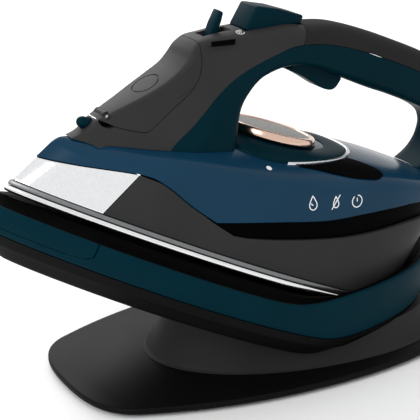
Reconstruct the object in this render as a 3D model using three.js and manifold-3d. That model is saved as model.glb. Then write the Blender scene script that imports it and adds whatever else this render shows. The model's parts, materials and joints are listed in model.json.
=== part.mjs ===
// A cordless steam iron resting nose-up on its charging dock.
// Millimetres, +Z up. The dock stands on Z = 0, the nose points to -X and the heel to +X, Y = 0 is the
// plane of symmetry. The iron is modelled lying flat in its own frame (x back from the soleplate's tip,
// z up from its underside) and then tilted onto the dock.
import * as THREE from "three";
import { mergeVertices } from "three/addons/utils/BufferGeometryUtils.js";
import Module from "manifold-3d";

const wasm = await Module();
wasm.setup();

// ---- driving dimensions -------------------------------------------------------------------------
const GAP = 0.3; // between pieces that touch
const WALL = 2.4; // moulded casings
const PITCH = THREE.MathUtils.degToRad(24.5); // nose-up tilt of the iron on the dock
const NOSE_X = -137.2; // the soleplate's tip when parked
const NOSE_Z = 121.5;

const SOLE_LENGTH = 238;
const SOLE_HALF_WIDTH = 59;
const SOLE_THICKNESS = 3.4;
const SHIELD_TOP = 6.3; // top of the grey strip over the soleplate
const FULL_WIDTH_AT = 170; // where the outline reaches its full width
const TAPER_FROM = 165; // where it starts to round into the heel
const NOSE_SLOPE = 0.56; // how far the nose leans back for each millimetre of height
const HANDLE_HALF_WIDTH = 17;
const HANDLE_ROUND = 7; // rounding of the handle's long edges

const DIAL_RADIUS = 26.5;
const DIAL_AT = { x: 141, z: 74.8 }; // centre of the dial's face
const DIAL_LEAN = THREE.MathUtils.degToRad(-6.5);

const THERMOSTAT_X = 147.3; // under the lower end of the dial's shaft

const BASE_TOP = 6;
const FOOT_HEIGHT = 1.5;
const BASE_SHIFT = NOSE_X + 52.35; // dock outlines are drawn with the tip of the soleplate at x = -52.35

const DOOR_HINGE = { x: 38, z: 52.4 };
const LEVER_PIVOT = { x: 86, z: 103 };
const TRIGGER_PIVOT = { x: 140, z: 118.6 };
const SPRAY_STEM_X = 107;
const VALVE_X = 86;
const CONTACTS = [-8, 8]; // across the heel
const GLAND_Z = 15.4;

// ---- materials ----------------------------------------------------------------------------------
function material(color, roughness, metalness = 0, opacity = 1) {
  return new THREE.MeshStandardMaterial({
    color,
    roughness,
    metalness,
    opacity,
    transparent: opacity < 1,
  });
}

const charcoal = () => material(0x33363a, 0.5);
const black = () => material(0x111214, 0.45);
const glossBlack = () => material(0x08090a, 0.15);
const softGrip = () => material(0x232528, 0.8);
const teal = () => material(0x0b3a46, 0.35);
const tankBlue = () => material(0x14344a, 0.15, 0, 0.75);
const chrome = () => material(0xe8eaec, 0.12, 1);
const steel = () => material(0xb8bcc0, 0.3, 1);
const copper = () => material(0xc98d6b, 0.25, 1);
const greyMetal = () => material(0x6f7478, 0.35, 0.8);
const aluminium = () => material(0xa7abad, 0.5, 0.9);
const brass = () => material(0xc7a452, 0.3, 1);
const rubber = () => material(0x1a1b1c, 0.9);
const circuitGreen = () => material(0x1f5a3a, 0.6);
const silver = () => material(0xc5c9cc, 0.3, 0.9);

// ---- solids -------------------------------------------------------------------------------------
function solid(geometry) {
  const bare = (geometry.index ? geometry.toNonIndexed() : geometry).clone();
  for (const name of Object.keys(bare.attributes)) {
    if (name !== "position") bare.deleteAttribute(name);
  }
  const merged = mergeVertices(bare, 1e-4);
  const vertProperties = new Float32Array(merged.attributes.position.array);
  const triVerts = new Uint32Array(merged.index.array);
  let made = new wasm.Manifold(new wasm.Mesh({ numProp: 3, vertProperties, triVerts }));
  if (made.volume() < 0) {
    for (let i = 0; i < triVerts.length; i += 3) {
      [triVerts[i + 1], triVerts[i + 2]] = [triVerts[i + 2], triVerts[i + 1]];
    }
    made = new wasm.Manifold(new wasm.Mesh({ numProp: 3, vertProperties, triVerts }));
  }
  return made;
}

function geometryOf(made) {
  const mesh = made.getMesh();
  const positions = new Float32Array(mesh.numVert * 3);
  for (let i = 0; i < mesh.numVert; i += 1) {
    positions.set(mesh.vertProperties.subarray(i * mesh.numProp, i * mesh.numProp + 3), i * 3);
  }
  const geometry = new THREE.BufferGeometry();
  geometry.setAttribute("position", new THREE.BufferAttribute(positions, 3));
  geometry.setIndex(new THREE.BufferAttribute(new Uint32Array(mesh.triVerts), 1));
  return geometry;
}

function mesh(name, shape, finish) {
  const made = new THREE.Mesh(shape.isBufferGeometry ? shape : geometryOf(shape), finish);
  made.name = name;
  return made;
}

// A solid skinned over rings of equal point count. It is capped at both ends, with the given triangles or
// with a fan, or, when looped, its last ring joins the first.
function loft(rings, looped = false, caps = null) {
  const count = rings[0].length;
  const positions = rings.flat().flatMap((p) => [p.x, p.y, p.z]);
  const faces = [];
  const bands = looped ? rings.length : rings.length - 1;
  for (let r = 0; r < bands; r += 1) {
    const here = r * count;
    const next = ((r + 1) % rings.length) * count;
    for (let i = 0; i < count; i += 1) {
      const j = (i + 1) % count;
      faces.push(here + i, here + j, next + j, here + i, next + j, next + i);
    }
  }
  if (caps) {
    const last = (rings.length - 1) * count;
    for (const [a, b, c] of caps) {
      faces.push(c, b, a, last + a, last + b, last + c);
    }
  } else if (!looped) {
    for (const [first, flip] of [[0, true], [(rings.length - 1) * count, false]]) {
      const middle = new THREE.Vector3();
      for (let i = 0; i < count; i += 1) {
        middle.add(rings[first / count][i]);
      }
      middle.divideScalar(count);
      const hub = positions.length / 3;
      positions.push(middle.x, middle.y, middle.z);
      for (let i = 0; i < count; i += 1) {
        const j = (i + 1) % count;
        faces.push(hub, first + (flip ? j : i), first + (flip ? i : j));
      }
    }
  }
  const geometry = new THREE.BufferGeometry();
  geometry.setAttribute("position", new THREE.Float32BufferAttribute(positions, 3));
  geometry.setIndex(faces);
  return solid(geometry);
}

// Unit vectors that point out of a clockwise-or-not outline at each of its corners.
function outwardAt(outline) {
  const points = outline.map(([x, z]) => new THREE.Vector2(x, z));
  const side = THREE.ShapeUtils.isClockWise(points) ? -1 : 1;
  return points.map((here, i) => {
    const before = points[(i + points.length - 1) % points.length];
    const after = points[(i + 1) % points.length];
    const into = here.clone().sub(before).normalize();
    const out = after.clone().sub(here).normalize();
    const along = into.clone().add(out).normalize();
    const stretch = Math.min(1.6, 1 / Math.max(0.3, along.dot(out)));
    return new THREE.Vector2(along.y, -along.x).multiplyScalar(side * stretch);
  });
}

// An outline in the side view, as [x, z] pairs, extruded across Y with its long edges rounded.
function sidePrism(outline, halfWidth = 100, rounding = 0, inset = 0) {
  const outward = outwardAt(outline);
  const layers = [];
  const steps = rounding > 0 ? 3 : 0;
  for (let k = 0; k <= steps; k += 1) {
    const angle = (Math.PI / 2) * (steps ? k / steps : 1);
    layers.push([halfWidth - rounding + rounding * Math.cos(angle) * (steps ? 1 : 0),
        inset + 0.8 * rounding * (1 - Math.sin(angle))]);
  }
  const ring = ([y, draw], sign) =>
    outline.map(([x, z], i) => new THREE.Vector3(x - outward[i].x * draw, sign * y,
        z - outward[i].y * draw));
  const rings = [...layers.map((l) => ring(l, -1)), ...layers.toReversed().map((l) => ring(l, 1))];
  const flat = outline.map(([x, z]) => new THREE.Vector2(x, z));
  const clockwise = THREE.ShapeUtils.isClockWise(flat);
  const caps = THREE.ShapeUtils.triangulateShape(flat, []).map(([a, b, c]) =>
    THREE.ShapeUtils.isClockWise([flat[a], flat[b], flat[c]]) === clockwise ? [a, b, c] : [c, b, a],
  );
  return loft(rings, false, caps);
}

// An outline in plan, as a THREE.Shape, extruded up from z0 to z1.
function planPrism(shape, z0, z1, curveSegments = 8) {
  const geometry = new THREE.ExtrudeGeometry(shape, {
    depth: z1 - z0,
    bevelEnabled: false,
    curveSegments,
  });
  geometry.translate(0, 0, z0);
  return solid(geometry);
}

function box(x0, x1, y0, y1, z0, z1) {
  const geometry = new THREE.BoxGeometry(x1 - x0, y1 - y0, z1 - z0);
  geometry.translate((x0 + x1) / 2, (y0 + y1) / 2, (z0 + z1) / 2);
  return solid(geometry);
}

// A cylinder whose axis runs up from its foot.
function upright(x, y, z0, z1, radius, sides = 16) {
  const geometry = new THREE.CylinderGeometry(radius, radius, z1 - z0, sides);
  geometry.rotateX(Math.PI / 2);
  geometry.translate(x, y, (z0 + z1) / 2);
  return solid(geometry);
}

function across(x, z, halfLength, radius, sides = 16) {
  const geometry = new THREE.CylinderGeometry(radius, radius, 2 * halfLength, sides);
  geometry.translate(x, 0, z);
  return solid(geometry);
}

// A turned piece about the vertical through (x, y), from [radius, z] pairs.
function turned(x, y, profile, sides = 24) {
  const geometry = new THREE.LatheGeometry(
    profile.map(([r, z]) => new THREE.Vector2(r, z)),
    sides,
  );
  geometry.rotateX(Math.PI / 2);
  geometry.translate(x, y, 0);
  return solid(geometry);
}

// A smooth curve through [x, z] pairs, sampled as a list of pairs.
function curve(points, samples) {
  const spline = new THREE.SplineCurve(points.map(([x, z]) => new THREE.Vector2(x, z)));
  return spline.getPoints(samples).map((p) => [p.x, p.y]);
}

// Height of a curve given as [x, z] pairs, read at x.
function heightAt(points, x) {
  if (x <= points[0][0]) return points[0][1];
  for (let i = 1; i < points.length; i += 1) {
    const [x0, z0] = points[i - 1];
    const [x1, z1] = points[i];
    if (x <= x1) return z0 + ((z1 - z0) * (x - x0)) / (x1 - x0);
  }
  return points[points.length - 1][1];
}

function clamp01(t) {
  return Math.min(1, Math.max(0, t));
}

// ---- the iron's outline ---------------------------------------------------------------------------
// Half-width of a leaf outline: a blunt point at tip, full width from full, rounded off between taper
// and heel.
function leafHalfWidth(x, { tip, full, taper, heel, halfWidth, bluntness, heelPower }) {
  const nose = Math.sin((clamp01((x - tip) / (full - tip)) * Math.PI) / 2) ** bluntness;
  const tail = (1 - clamp01((x - taper) / (heel - taper)) ** heelPower) ** (1 / heelPower);
  return halfWidth * nose * tail;
}

// One closed ring round a leaf, its points closer together at both ends.
function leafRing(leaf, zOf, perSide = 15) {
  const ring = [];
  for (let i = 0; i <= perSide; i += 1) {
    const x = leaf.tip + ((leaf.heel - leaf.tip) * (1 - Math.cos((Math.PI * i) / perSide))) / 2;
    ring.push(new THREE.Vector3(x, -leafHalfWidth(x, leaf), zOf(x)));
  }
  for (let i = perSide - 1; i >= 1; i -= 1) {
    const p = ring[i];
    ring.push(new THREE.Vector3(p.x, -p.y, p.z));
  }
  return ring;
}

function soleLeaf(inset) {
  return {
    tip: inset * 1.6,
    full: FULL_WIDTH_AT,
    taper: TAPER_FROM,
    heel: SOLE_LENGTH - inset,
    halfWidth: SOLE_HALF_WIDTH - inset,
    bluntness: 0.8,
    heelPower: 3.2,
  };
}

// The casing's outline at height z: it leans back at the nose, draws in as it rises, and overhangs the
// soleplate at the heel.
function bodyLeaf(z, inset = 0) {
  return {
    tip: NOSE_SLOPE * z - 1 + inset * 1.6,
    full: FULL_WIDTH_AT,
    taper: TAPER_FROM,
    heel: SOLE_LENGTH + 1 + 17 * Math.sin((clamp01(z / 75) * Math.PI) / 2) - inset,
    halfWidth: SOLE_HALF_WIDTH - 0.6 - 0.1 * z - inset,
    bluntness: 0.8 - 0.0024 * z,
    heelPower: 3.2,
  };
}

function bodyStack(z0, z1, inset = 0, steps = 4) {
  const rings = [];
  for (let i = 0; i <= steps; i += 1) {
    const z = z0 + ((z1 - z0) * i) / steps;
    rings.push(leafRing(bodyLeaf(z, inset), () => z));
  }
  return loft(rings);
}

// Seams seen from the side, from nose to heel.
const TANK_LOWER = curve(
  [[-10, 18], [11, 21.4], [27, 24.8], [56.6, 31.6], [69.5, 30.6], [84, 25.2], [99, 21.1]],
  12,
).concat(curve([[115.5, 26.4], [133, 31.9], [162, 40.6], [189, 51.5], [218, 63], [240, 68.5],
    [275, 70]], 10));
const SKIRT_TOP = curve([[55.8, 31.2], [69.5, 30.6], [84, 25.2], [99, 20.4], [110, 17.6]], 8)
  .concat(curve([[118, 18.6], [136, 22.9], [160, 29.5], [178, 35], [197, 42.4], [223, 53.4],
      [245, 60], [275, 62]], 9));
const TRIM_END = [[43.2, 5], [55.8, 31.2]]; // rear edge of the chrome nose trim

// The deck over the tank arches from the centre line down to the shoulder.
const DECK_CENTRE = [[-20, 30.5], [17, 34.5], [41, 40], [60, 45], [84, 53], [115, 62], [140, 68],
    [165, 74], [214, 80], [280, 80]];
const DECK_EDGE = [[-20, 29.5], [17, 33.5], [41, 38.5], [60, 42.3], [84, 47], [127, 52.6],
    [164, 61.3], [214, 74], [280, 76]];

function deckHeight(x, y) {
  const centre = heightAt(DECK_CENTRE, x);
  const edge = heightAt(DECK_EDGE, x);
  const reach = Math.max(8, leafHalfWidth(Math.min(x, 215), bodyLeaf(edge)));
  return centre - (centre - edge) * Math.min(1.6, Math.abs(y) / reach) ** 2.4;
}

// Everything below the deck, raised by lift.
function underDeck(lift, floor = -20) {
  const across = [-70, -50, -38, -26, -12, 0, 12, 26, 38, 50, 70];
  const rings = [];
  for (const x of [-20, 5, 17, 30, 41, 60, 84, 100, 115, 127, 140, 153, 165, 190, 214, 240, 280]) {
    const ring = across.map((y) => new THREE.Vector3(x, y, deckHeight(x, y) + lift));
    ring.push(new THREE.Vector3(x, 70, floor), new THREE.Vector3(x, -70, floor));
    rings.push(ring);
  }
  return loft(rings);
}

function above(points, lift, ceiling = 200) {
  return sidePrism([...points.map(([x, z]) => [x, z + lift]), [points.at(-1)[0], ceiling],
      [points[0][0], ceiling]]);
}

function below(points, lift, floor = -60) {
  return sidePrism([[points[0][0], floor],
      [points.at(-1)[0], floor], ...points.map(([x, z]) => [x, z + lift]).reverse()]);
}

// ---- the dock -----------------------------------------------------------------------------------
const dock = new THREE.Group();
dock.position.x = BASE_SHIFT;

// Heights along the tray: parallel to the parked soleplate in front, level round the heel.
function levelling(slopeAtZero, level, softness) {
  return (x) => {
    const line = slopeAtZero - Math.tan(PITCH) * x;
    return level + softness * Math.log(1 + Math.exp((line - level) / softness));
  };
}
const rimZ = levelling(91.1, 52.3, 3);
const bandZ = levelling(74.4, 25, 3);
const trayFloorZ = levelling(59.6, 15, 2);

function trayLeaf(inset) {
  return {
    tip: -69.4 + inset,
    full: 81.7,
    taper: 65,
    heel: 208 - inset,
    halfWidth: 73 - inset,
    bluntness: 0.75,
    heelPower: 2.4,
  };
}

function trayRing(inset, zOf) {
  return leafRing(trayLeaf(inset), zOf);
}

const BAND_DRAFT = 4; // how far the teal band draws in towards its lower edge
const FLOOR_DRAFT = 14;
const bandMidZ = (x) => 0.55 * rimZ(x) + 0.45 * bandZ(x);
const shellMidZ = (x) => 0.6 * bandZ(x) + 0.4 * trayFloorZ(x);

function bandSolid() {
  return loft(
    [
      trayRing(0.6, rimZ),
      trayRing(0, (x) => rimZ(x) - 1.2),
      trayRing(1, bandMidZ),
      trayRing(BAND_DRAFT, bandZ),
      trayRing(BAND_DRAFT + WALL, bandZ),
      trayRing(WALL + 0.6, (x) => rimZ(x) - 0.4),
    ],
    true,
  );
}

// The front panel of the band, seen from the side.
function frontPanelRegion(grow) {
  const lower = [-85, -65, -50, -34].map((x) => [x, bandZ(x) + 4.5 - grow]);
  return sidePrism([...lower, [-22 + 2 * grow, bandZ(-22) + 8 - grow], [-12 + 2 * grow, 125], [-85, 150]]);
}

function lockWell(grow) {
  return box(-80, -55, -6.8 - grow, 6.8 + grow, 110.4 - grow, 115.6 + grow);
}

function buildTray() {
  const band = bandSolid();
  const panel = band.intersect(frontPanelRegion(0)).subtract(lockWell(GAP));
  dock.add(mesh("tray_band", band.subtract(frontPanelRegion(GAP)), teal()));
  dock.add(mesh("tray_front_panel", panel, teal()));

  const knob = loft([trayRing(-0.9, () => 105), trayRing(-0.9, () => 120)])
    .intersect(lockWell(0))
    .intersect(box(-80, -64.4, -20, 20, 100, 130));
  dock.add(mesh("lock_button", knob, black()));

  const floor = (inset, zOf) => [trayRing(70, zOf), trayRing(42, zOf), trayRing(inset, zOf)];
  const shell = loft([
    ...floor(FLOOR_DRAFT, trayFloorZ),
    trayRing(7, shellMidZ),
    trayRing(BAND_DRAFT + 0.2, (x) => bandZ(x) - GAP),
    trayRing(BAND_DRAFT + 0.2 + WALL, (x) => bandZ(x) - GAP),
    ...floor(FLOOR_DRAFT + 2, (x) => trayFloorZ(x) + 1.8).reverse(),
  ]);
  dock.add(mesh("tray_lower_shell", shell, black()));
}

// A point of the parked iron's frame, in the dock's.
function parked(x, y, z) {
  const c = Math.cos(PITCH);
  const s = Math.sin(PITCH);
  return new THREE.Vector3(-52.35 + x * c + z * s, y, NOSE_Z - x * s + z * c);
}

function parkedSoleRing(inset, z) {
  return leafRing(soleLeaf(inset), () => z).map((p) => parked(p.x, p.y, p.z));
}

function buildLiner() {
  const rim = (x) => rimZ(x) - 0.6;
  const liner = loft([
    parkedSoleRing(30, -3.6),
    parkedSoleRing(-2.4, -3.6),
    trayRing(WALL + 1.1, (x) => rim(x) - 2),
    trayRing(WALL + 1.1, rim),
    trayRing(WALL + 2.8, rim),
    parkedSoleRing(-0.6, -1.7),
    parkedSoleRing(30, -1.7),
  ]).subtract(box(180, 200, -18.3, 18.3, 31.7, 46.3));
  dock.add(mesh("tray_liner", liner, glossBlack()));

  for (const [name, x, y] of [["rest_pad_front", 60, 0], ["rest_pad_left", 190, -38],
      ["rest_pad_right", 190, 38]]) {
    const pad = mesh(name, turned(0, 0, [[0, -1.4], [7, -1.4], [7.5, -0.9], [7, -0.3],
        [0, -0.3]], 16), rubber());
    pad.position.copy(parked(x, y, 0));
    pad.rotation.y = PITCH;
    dock.add(pad);
  }
}

function buildContacts() {
  const socket = box(187.3, 199, -18, 18, 32, 46).subtract(box(186, 195, -15.3, 15.3, 35, 43));
  dock.add(mesh("contact_socket", socket, black()));
  const carrier = box(188, 192, -15, 15, 35.3, 42.7);
  for (const [i, y] of CONTACTS.entries()) {
    const pin = upright(0, y, 0, 4.7, 1.6, 12);
    const made = mesh(`contact_pin_${i + 1}`, pin, brass());
    made.rotation.y = -Math.PI / 2;
    made.position.set(187.7, 0, 39);
    dock.add(made);
  }
  dock.add(mesh("contact_carrier", carrier, black()));
}

// The base plate's outline, drawn in from the edge by inset.
function baseOutline(inset) {
  const shape = new THREE.Shape();
  const i = inset;
  shape.moveTo(-23.5 + i, 0);
  shape.bezierCurveTo(-23.5 + i, -24 + i, -20 + i, -44 + i, 0, -51 + i);
  shape.bezierCurveTo(35, -66 + i, 72, -73.5 + i, 116, -73.5 + i);
  shape.bezierCurveTo(190 - i, -73.5 + i, 240 - i, -48 + i, 240 - i, 0);
  shape.bezierCurveTo(240 - i, 48 - i, 190 - i, 73.5 - i, 116, 73.5 - i);
  shape.bezierCurveTo(72, 73.5 - i, 35, 66 - i, 0, 51 - i);
  shape.bezierCurveTo(-20 + i, 44 - i, -23.5 + i, 24 - i, -23.5 + i, 0);
  return shape;
}

function pedestalRing(front, rear, halfWidth, z) {
  const ring = [];
  const count = 28;
  for (let k = 0; k < count; k += 1) {
    const angle = (2 * Math.PI * k) / count;
    const reach = Math.cos(angle) > 0 ? rear - 145 : 145 - front;
    ring.push(new THREE.Vector3(145 + reach * Math.cos(angle), halfWidth * Math.sin(angle), z));
  }
  return ring;
}

function pedestalStack(inset) {
  return loft([
    pedestalRing(31 + inset, 226 - inset, 61 - inset, BASE_TOP + GAP),
    pedestalRing(33.5 + inset, 221 - inset, 58.5 - inset, 12),
    pedestalRing(38.5 + inset, 214 - inset, 55 - inset, 22),
    pedestalRing(46 + inset, 208 - inset, 51 - inset, 40),
    pedestalRing(52 + inset, 205 - inset, 49 - inset, 60),
  ]);
}

const BASE_SCREWS = [["base_screw_front", 39.5, 0], ["base_screw_rear", 206, 0]];
const FEET = [
  ["foot_front_left", 8, -36],
  ["foot_front_right", 8, 36],
  ["foot_rear_left", 182, -46],
  ["foot_rear_right", 182, 46],
];

function buildBase() {
  const plate = planPrism(baseOutline(0), 2.2, BASE_TOP - 0.8)
    .add(planPrism(baseOutline(0.8), BASE_TOP - 0.8, BASE_TOP))
    .subtract(planPrism(baseOutline(2.2), 2, 3.4));
  let cover = planPrism(baseOutline(2.5), FOOT_HEIGHT, 3.1);
  let top = plate;
  for (const [name, x, y] of FEET) {
    const foot = turned(x, y, [[0, 0], [6.5, 0], [7.5, 0.8], [7.5, FOOT_HEIGHT - GAP],
        [0, FOOT_HEIGHT - GAP]], 16);
    dock.add(mesh(name, foot, rubber()));
  }
  for (const [name, x, y] of BASE_SCREWS) {
    const profile = [[0, FOOT_HEIGHT + 0.1], [3, FOOT_HEIGHT + 0.1], [3, 2.6], [1.3, 3.2], [1.3, 10],
        [0, 10]];
    dock.add(mesh(name, turned(x, y, profile, 12), steel()));
    cover = cover.subtract(upright(x, y, 1, 4, 3.4, 12));
    top = top.subtract(upright(x, y, 1, 8, 1.7, 12));
  }
  dock.add(mesh("base_plate", top, black()));
  dock.add(mesh("base_bottom_cover", cover, charcoal()));

  const lowered = (x) => trayFloorZ(x) - GAP;
  const tray = loft([
    trayRing(70, lowered),
    trayRing(42, lowered),
    trayRing(FLOOR_DRAFT - 0.4, lowered),
    trayRing(6.6, (x) => shellMidZ(x) - GAP),
    trayRing(BAND_DRAFT - 0.3, (x) => bandZ(x) - GAP),
    trayRing(-2, (x) => bandZ(x) + 60),
  ]);
  const bandFoot = [-80, -40, 0, 30, 60, 80, 100, 120, 250].map((x) => [x, bandZ(x) - 3]);
  const underTray = tray.add(above(bandFoot, 0));
  let pedestal = pedestalStack(0).subtract(pedestalStack(WALL).intersect(box(0, 230, -70, 70, 0, 30)));
  pedestal = pedestal.subtract(underTray);
  for (const [, x, y] of BASE_SCREWS) {
    pedestal = pedestal.add(upright(x, y, BASE_TOP + GAP, 13, 4.5, 12).subtract(underTray));
    pedestal = pedestal.subtract(upright(x, y, BASE_TOP, 10.5, 1.6, 12));
  }
  pedestal = pedestal.add(box(208, 222, -1.5, 1.5, BASE_TOP + GAP, 8.8));
  const gland = turned(0, 0, [[3.6, 0], [6, 0], [6, 5], [7.6, 5], [7.6, 7], [6.4, 9.5], [3.6, 9.5],
      [3.6, 0]], 16);
  const glandMesh = mesh("cord_gland", gland, rubber());
  glandMesh.rotation.y = Math.PI / 2;
  glandMesh.position.set(220.4, 0, GLAND_Z);
  dock.add(glandMesh);
  const inletHole = upright(0, 0, -12, 12, 6.3, 16);
  pedestal = pedestal.subtract(inletHole.rotate([0, 90, 0]).translate([226, 0, GLAND_Z]));
  dock.add(mesh("pedestal", pedestal, charcoal()));
}


// ---- the iron -----------------------------------------------------------------------------------
const iron = new THREE.Group();
iron.position.set(NOSE_X, 0, NOSE_Z);
iron.rotation.y = PITCH;

const STEAM_HOLES = [[34, 0], [50, 11], [50, -11], [70, 20], [70, -20], [92, 28], [92, -28],
    [116, 33], [116, -33], [60, 0]];

function buildSole() {
  let sole = loft([
    leafRing(soleLeaf(1), () => 0),
    leafRing(soleLeaf(0), () => 1),
    leafRing(soleLeaf(0), () => SOLE_THICKNESS),
  ]);
  for (const [x, y] of STEAM_HOLES) {
    sole = sole.subtract(upright(x, y, -1, 5, 1.6, 8));
  }
  iron.add(mesh("soleplate", sole, chrome()));

  const shield = loft(
    [
      leafRing(soleLeaf(0.7), () => SOLE_THICKNESS + GAP),
      leafRing(soleLeaf(0.9), () => SHIELD_TOP),
      leafRing(soleLeaf(4.4), () => SHIELD_TOP),
      leafRing(soleLeaf(4.4), () => SOLE_THICKNESS + GAP),
    ],
    true,
  );
  iron.add(mesh("heat_shield", shield, greyMetal()));
}

// The U-shaped path of the heating element, open towards the heel.
class ElementPath extends THREE.Curve {
  getPoint(t, target = new THREE.Vector3()) {
    const straight = 112;
    const radius = 27;
    const arc = Math.PI * radius;
    const s = t * (2 * straight + arc);
    if (s < straight) return target.set(204 - s, -radius, 10);
    if (s > straight + arc) return target.set(92 + (s - straight - arc), radius, 10);
    const angle = (s - straight) / radius;
    return target.set(92 - radius * Math.sin(angle), -radius * Math.cos(angle), 10);
  }
}

function elementTube(radius, sides) {
  const section = new THREE.Shape();
  for (let i = 0; i < sides; i += 1) {
    const angle = (2 * Math.PI * i) / sides;
    section[i ? "lineTo" : "moveTo"](radius * Math.cos(angle), radius * Math.sin(angle));
  }
  return solid(new THREE.ExtrudeGeometry(section, { steps: 22, bevelEnabled: false,
      extrudePath: new ElementPath() }));
}

function buildHeater() {
  const castingLeaf = (inset) => ({ ...soleLeaf(inset), heel: 202 });
  const casting = loft([
    leafRing(castingLeaf(6), () => SOLE_THICKNESS + GAP, 12),
    leafRing(castingLeaf(7), () => 14, 12),
  ])
    .subtract(loft([leafRing({ ...castingLeaf(36), tip: 30, heel: 196 }, () => 6, 8),
        leafRing({ ...castingLeaf(36), tip: 30, heel: 196 }, () => 15, 8)]))
    .subtract(elementTube(3.8, 8));
  iron.add(mesh("heater_casting", casting, aluminium()));
  iron.add(mesh("heating_element", elementTube(3.3, 8), steel()));
  const lid = loft([leafRing(castingLeaf(9), () => 14.3, 10), leafRing(castingLeaf(9), () => 15.8, 10)])
    .subtract(upright(VALVE_X, 0, 13, 17, 2.6, 12))
    .subtract(upright(THERMOSTAT_X, 0, 13, 17, 7.5, 12));
  iron.add(mesh("steam_chamber_lid", lid, steel()));
  iron.add(mesh("thermostat", upright(THERMOSTAT_X, 0, 6.4, 18.6, 6.5, 12), steel()));
}

// A ring-shaped wall of the casing between two heights.
function casingWall(outerInset, wall, z0, z1) {
  return bodyStack(z0, z1, outerInset).subtract(bodyStack(z0 - 1, z1 + 1, outerInset + wall));
}

const HEEL_PANEL = { x0: 230, halfWidth: 27, top: 48 };

function buildSkirt() {
  const wall = casingWall(0, WALL, SHIELD_TOP + GAP, 66);
  const behindTrim = (shift) =>
    sidePrism([[TRIM_END[0][0] + shift, TRIM_END[0][1]], [TRIM_END[1][0] + shift, TRIM_END[1][1] + 3],
        [60 + shift, 80], [300, 80], [300, 5]]);
  const lowWall = wall.intersect(below(TANK_LOWER, -GAP));
  iron.add(mesh("nose_trim", lowWall.subtract(behindTrim(0)), chrome()));
  const skirtRegion = lowWall.intersect(behindTrim(GAP)).intersect(below(SKIRT_TOP, 0));
  const heelPanel = (grow) => box(HEEL_PANEL.x0, 300, -HEEL_PANEL.halfWidth - grow,
      HEEL_PANEL.halfWidth + grow, -10, HEEL_PANEL.top + grow);
  iron.add(mesh("skirt", skirtRegion.subtract(heelPanel(GAP)), charcoal()));
  const slot = box(235, 270, -14.3, 14.3, 18.7, 31.3);
  const heel = skirtRegion.intersect(heelPanel(0)).subtract(slot);
  iron.add(mesh("heel_cover", heel, black()));

  const bandRegion = casingWall(2.6, WALL, 10, 80).intersect(below(TANK_LOWER,
      -GAP)).intersect(above(SKIRT_TOP, GAP));
  const bodies = bandRegion.intersect(box(100, 300, -90, 90, 0, 90));
  iron.add(mesh("body_recess", bodies, black()));
}

const FILLER = { x: 60, radius: 8 };
const FUNNEL_INSET = WALL + 0.9; // the funnel lies this far under the skin

function buildTank() {
  const region = (lift) => above(TANK_LOWER, lift).intersect(underDeck(-lift));
  const outer = bodyStack(14, 82).intersect(region(0));
  const cavity = bodyStack(14, 82, WALL).intersect(region(WALL));
  const sleeve = (radius) => upright(VALVE_X, 0, 5, 90, radius, 12);
  const shaftSleeve = (radius) => onDialAxis(radius, 70, -10, 12);
  let tank = outer.subtract(cavity);
  for (const tube of [sleeve, shaftSleeve]) {
    tank = tank.add(tube(5.4).intersect(outer)).subtract(tube(3.4));
  }
  tank = tank
    .subtract(upright(FILLER.x, 0, 36, 60, FILLER.radius + GAP, 16))
    .subtract(onDialAxis(DIAL_RADIUS + 0.8, 6, -8, 32));
  iron.add(mesh("water_tank", tank, tankBlue()));
}

// The handle and front column as seen from the side: up the front, back along the grip and down at the
// heel, then round the finger gap.
const HANDLE_OUTER = [
  [8, 20], [14, 27.5], [21, 33.8], [28, 40], [31, 44.5], [33.2, 49], [39, 55.5], [45.2, 62.3], [52.3, 70.4],
  [59, 78.6], [64.8, 87], [67.5, 93.5], [68.6, 99.5], [71.6, 105.2], [78.5, 109.7], [84.7, 113.4],
      [93, 117.6],
  [101, 121.8], [107, 124.8], [115, 129], [122, 131.8], [136, 135.4], [149.5, 140], [162, 142.4],
      [178, 144],
  [195, 144.8], [218, 145.2], [236, 143.6], [249, 139], [256.5, 133.4], [261, 127], [265, 119],
      [268.5, 110],
  [270, 101], [268.5, 91], [263.5, 81.5], [257.5, 74.5], [255, 66], [254, 40],
];
const HANDLE_INNER = [
  [236, 40], [236, 66], [240, 74], [246, 81], [251, 88], [253, 95], [253, 102], [250, 108.5], [243, 113.3],
  [230, 114.8], [205, 114.8],
  [183, 114], [150, 114], [137, 112], [128, 108.6], [121, 104.3], [115.6, 98], [112.4, 91], [110.4, 84],
  [109.4, 76], [109.8, 68], [111, 60], [111, 20],
];
// Boundary between the outer cover and the inner shell of the handle.
const SHELL_SEAM = [
  [60, 20], [66, 40], [70.8, 46], [74.6, 54], [82, 66], [94, 89], [101.6, 99.4], [110, 107.8],
      [117.5, 114.4],
  [126.5, 121.4], [143, 127.6], [164, 131.4], [188, 133], [214, 133.4], [236, 132], [249, 127], [257, 118],
  [260.6, 106], [260, 94], [254, 84], [247, 74], [245, 60], [245, 20],
];
const GRIP_SPLIT = 130;

// A level section of the front column: a face as wide as its two ridges, then sides that spread backwards.
function columnRing(z, front, ridge, halfWidth, rear) {
  const side = [
    [front + 0.3, ridge * 0.8],
    [front + 1.6, ridge],
    [front + 12, ridge + 0.5 * (halfWidth - ridge)],
    [front + 26, ridge + 0.88 * (halfWidth - ridge)],
    [front + 42, halfWidth],
    [rear - 8, halfWidth],
    [rear, halfWidth * 0.6],
  ];
  const near = side.map(([x, y]) => new THREE.Vector3(x, -y, z));
  const far = side.map(([x, y]) => new THREE.Vector3(x, y, z)).reverse();
  return [...near, ...far];
}

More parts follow.
